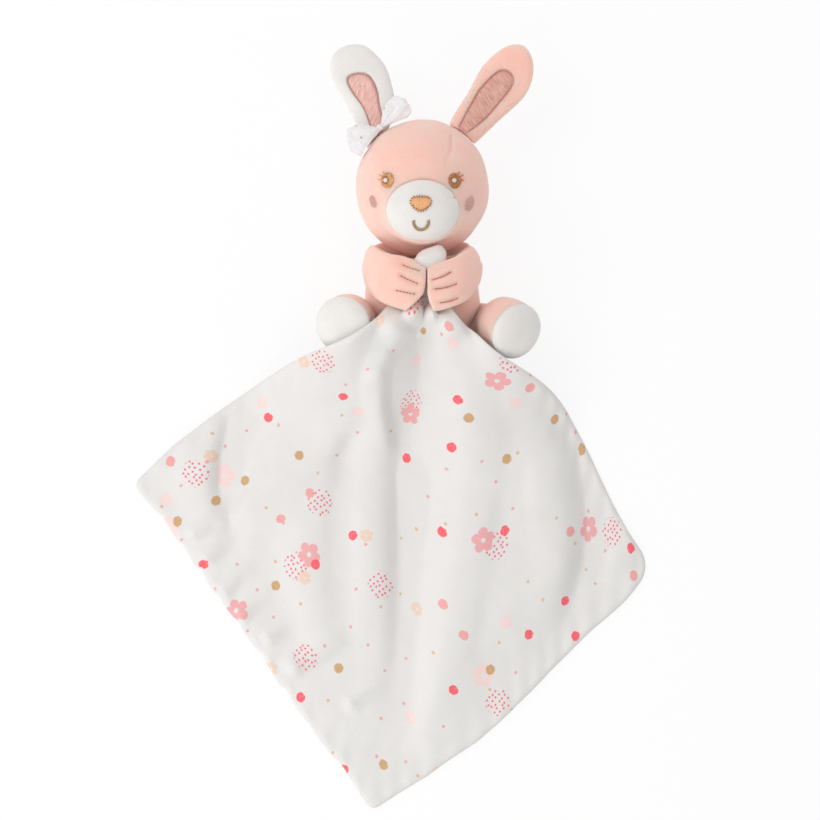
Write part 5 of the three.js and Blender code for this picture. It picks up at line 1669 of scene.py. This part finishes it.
def cotton(name, printed):
    """Fine cotton cloth with its weave; the front has the print."""
    material, shader = principled(name, {"Roughness": 0.9, "Sheen Weight": 0.1})
    tree = material.node_tree
    base = add_node(tree, "Group", {"Colour": COTTON, "Fibre": 2400, "Patch": 0.06}, node_tree=short_pile)
    colour = base.outputs["Colour"]
    if printed:
        clusters = add_node(tree, "Group", enumerate(CLUSTER), node_tree=dot_clusters)
        colour = blend_colour(tree, clusters.outputs["Mask"], colour, RED)
        for values, colours in PRINTS:
            spots = add_node(tree, "Group", enumerate(values), node_tree=scattered_spots)
            ramp = add_node(tree, "ValToRGB", {"Fac": spots.outputs["Random"]})
            ramp.color_ramp.interpolation = "CONSTANT"
            start = 0.0
            for k, (end, shade) in enumerate(colours):
                element = ramp.color_ramp.elements[k] if k < 2 else ramp.color_ramp.elements.new(start)
                element.position = start
                element.color = shade
                start = end
            colour = blend_colour(tree, spots.outputs["Mask"], colour, ramp.outputs["Color"])
    feed(tree, shader.inputs["Base Color"], colour)
    bump(tree, base.outputs["Height"], shader, 0.15, 0.25)
    return material


printed_cotton = cotton("printed_cotton", True)
plain_cotton = cotton("plain_cotton", False)
blanket_front = cloth_sheet("blanket_front_cloth", LAYER_GAP / 2 + LAYER, LAYER_GAP / 2)
blanket_back = cloth_sheet("blanket_back_cloth", -LAYER_GAP / 2 - LAYER, -LAYER_GAP / 2)
blanket_front.data.materials.append(printed_cotton)
blanket_back.data.materials.append(plain_cotton)
for piece, node in ((blanket_front, "blanket_front"), (blanket_back, "blanket_back")):
    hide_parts(node)
    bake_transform(piece)

# Held corner: the blanket's own corner, drawn through between the hands and the chest.
# Its end stands above the hands as a soft puff of cloth in front of the chin.
CORNER_LINE = ((0.5, 1, 45.6), (1.8, 7, 46.6), (2.8, 14, 49.5), (4.2, 20, 54.5), (4.8, 29, 56))
CORNER_SIZES = ((0, 22, 2.4), (0.25, 13, 3.4), (0.45, 11, 5), (0.66, 19, 11), (0.88, 20, 12), (1, 17, 9))
CORNER_SLANT = 0.44
CORNER_SIDES, CORNER_RINGS = 96, 80
CORNER_PLEATS = 7


def build_corner():
    """A flat, pleated neck of cloth between the hands that opens into a puff above them."""
    shares, widths, depths = zip(*CORNER_SIZES)

    def half(t):
        close = blunt(t, 5) if t > 0.5 else 1
        return np.interp(t, shares, widths) / 2 * close, np.interp(t, shares, depths) / 2 * close

    rings = sausage(CORNER_LINE, (1, 0, 0), half, CORNER_RINGS, CORNER_SIDES, 2.2, 0.0, 0.998)
    angles = round_turn(CORNER_SIDES)
    for i in range(CORNER_RINGS):
        t = i / (CORNER_RINGS - 1)
        pleat = 1 + 0.16 * np.cos(CORNER_PLEATS * angles + 1.5 * t) * max(0, 1 - 1.5 * t)
        centre = rings[i].mean(axis=0)
        rings[i] = centre + (rings[i] - centre) * pleat[:, None]
    flat = rings.reshape(-1, 3)
    flat[:, 1] += CORNER_SLANT * np.minimum(flat[:, 0] - 4.4, 4) * smooth(flat[:, 1], 16, 27)
    flat = press_out(flat, head_gap, HEAD_REST_GAP, 1.5)
    flat[:, 2] += uneven(flat, 9, 0.8, 61)
    flat[:, 0] += uneven(flat, 8, 0.7, 62)
    uv = np.vstack([np.tile((0.01, 0.01), (len(flat), 1)) + flat[:, :2] / BLANKET_SIDE, ((0, 0), (0, 0))])
    return ring_form("blanket_corner_cloth", flat.reshape(rings.shape), uv)


corner = build_corner()
corner.data.materials.append(plain_cotton)
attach(corner, "torso")
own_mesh(corner)
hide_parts("blanket_corner")
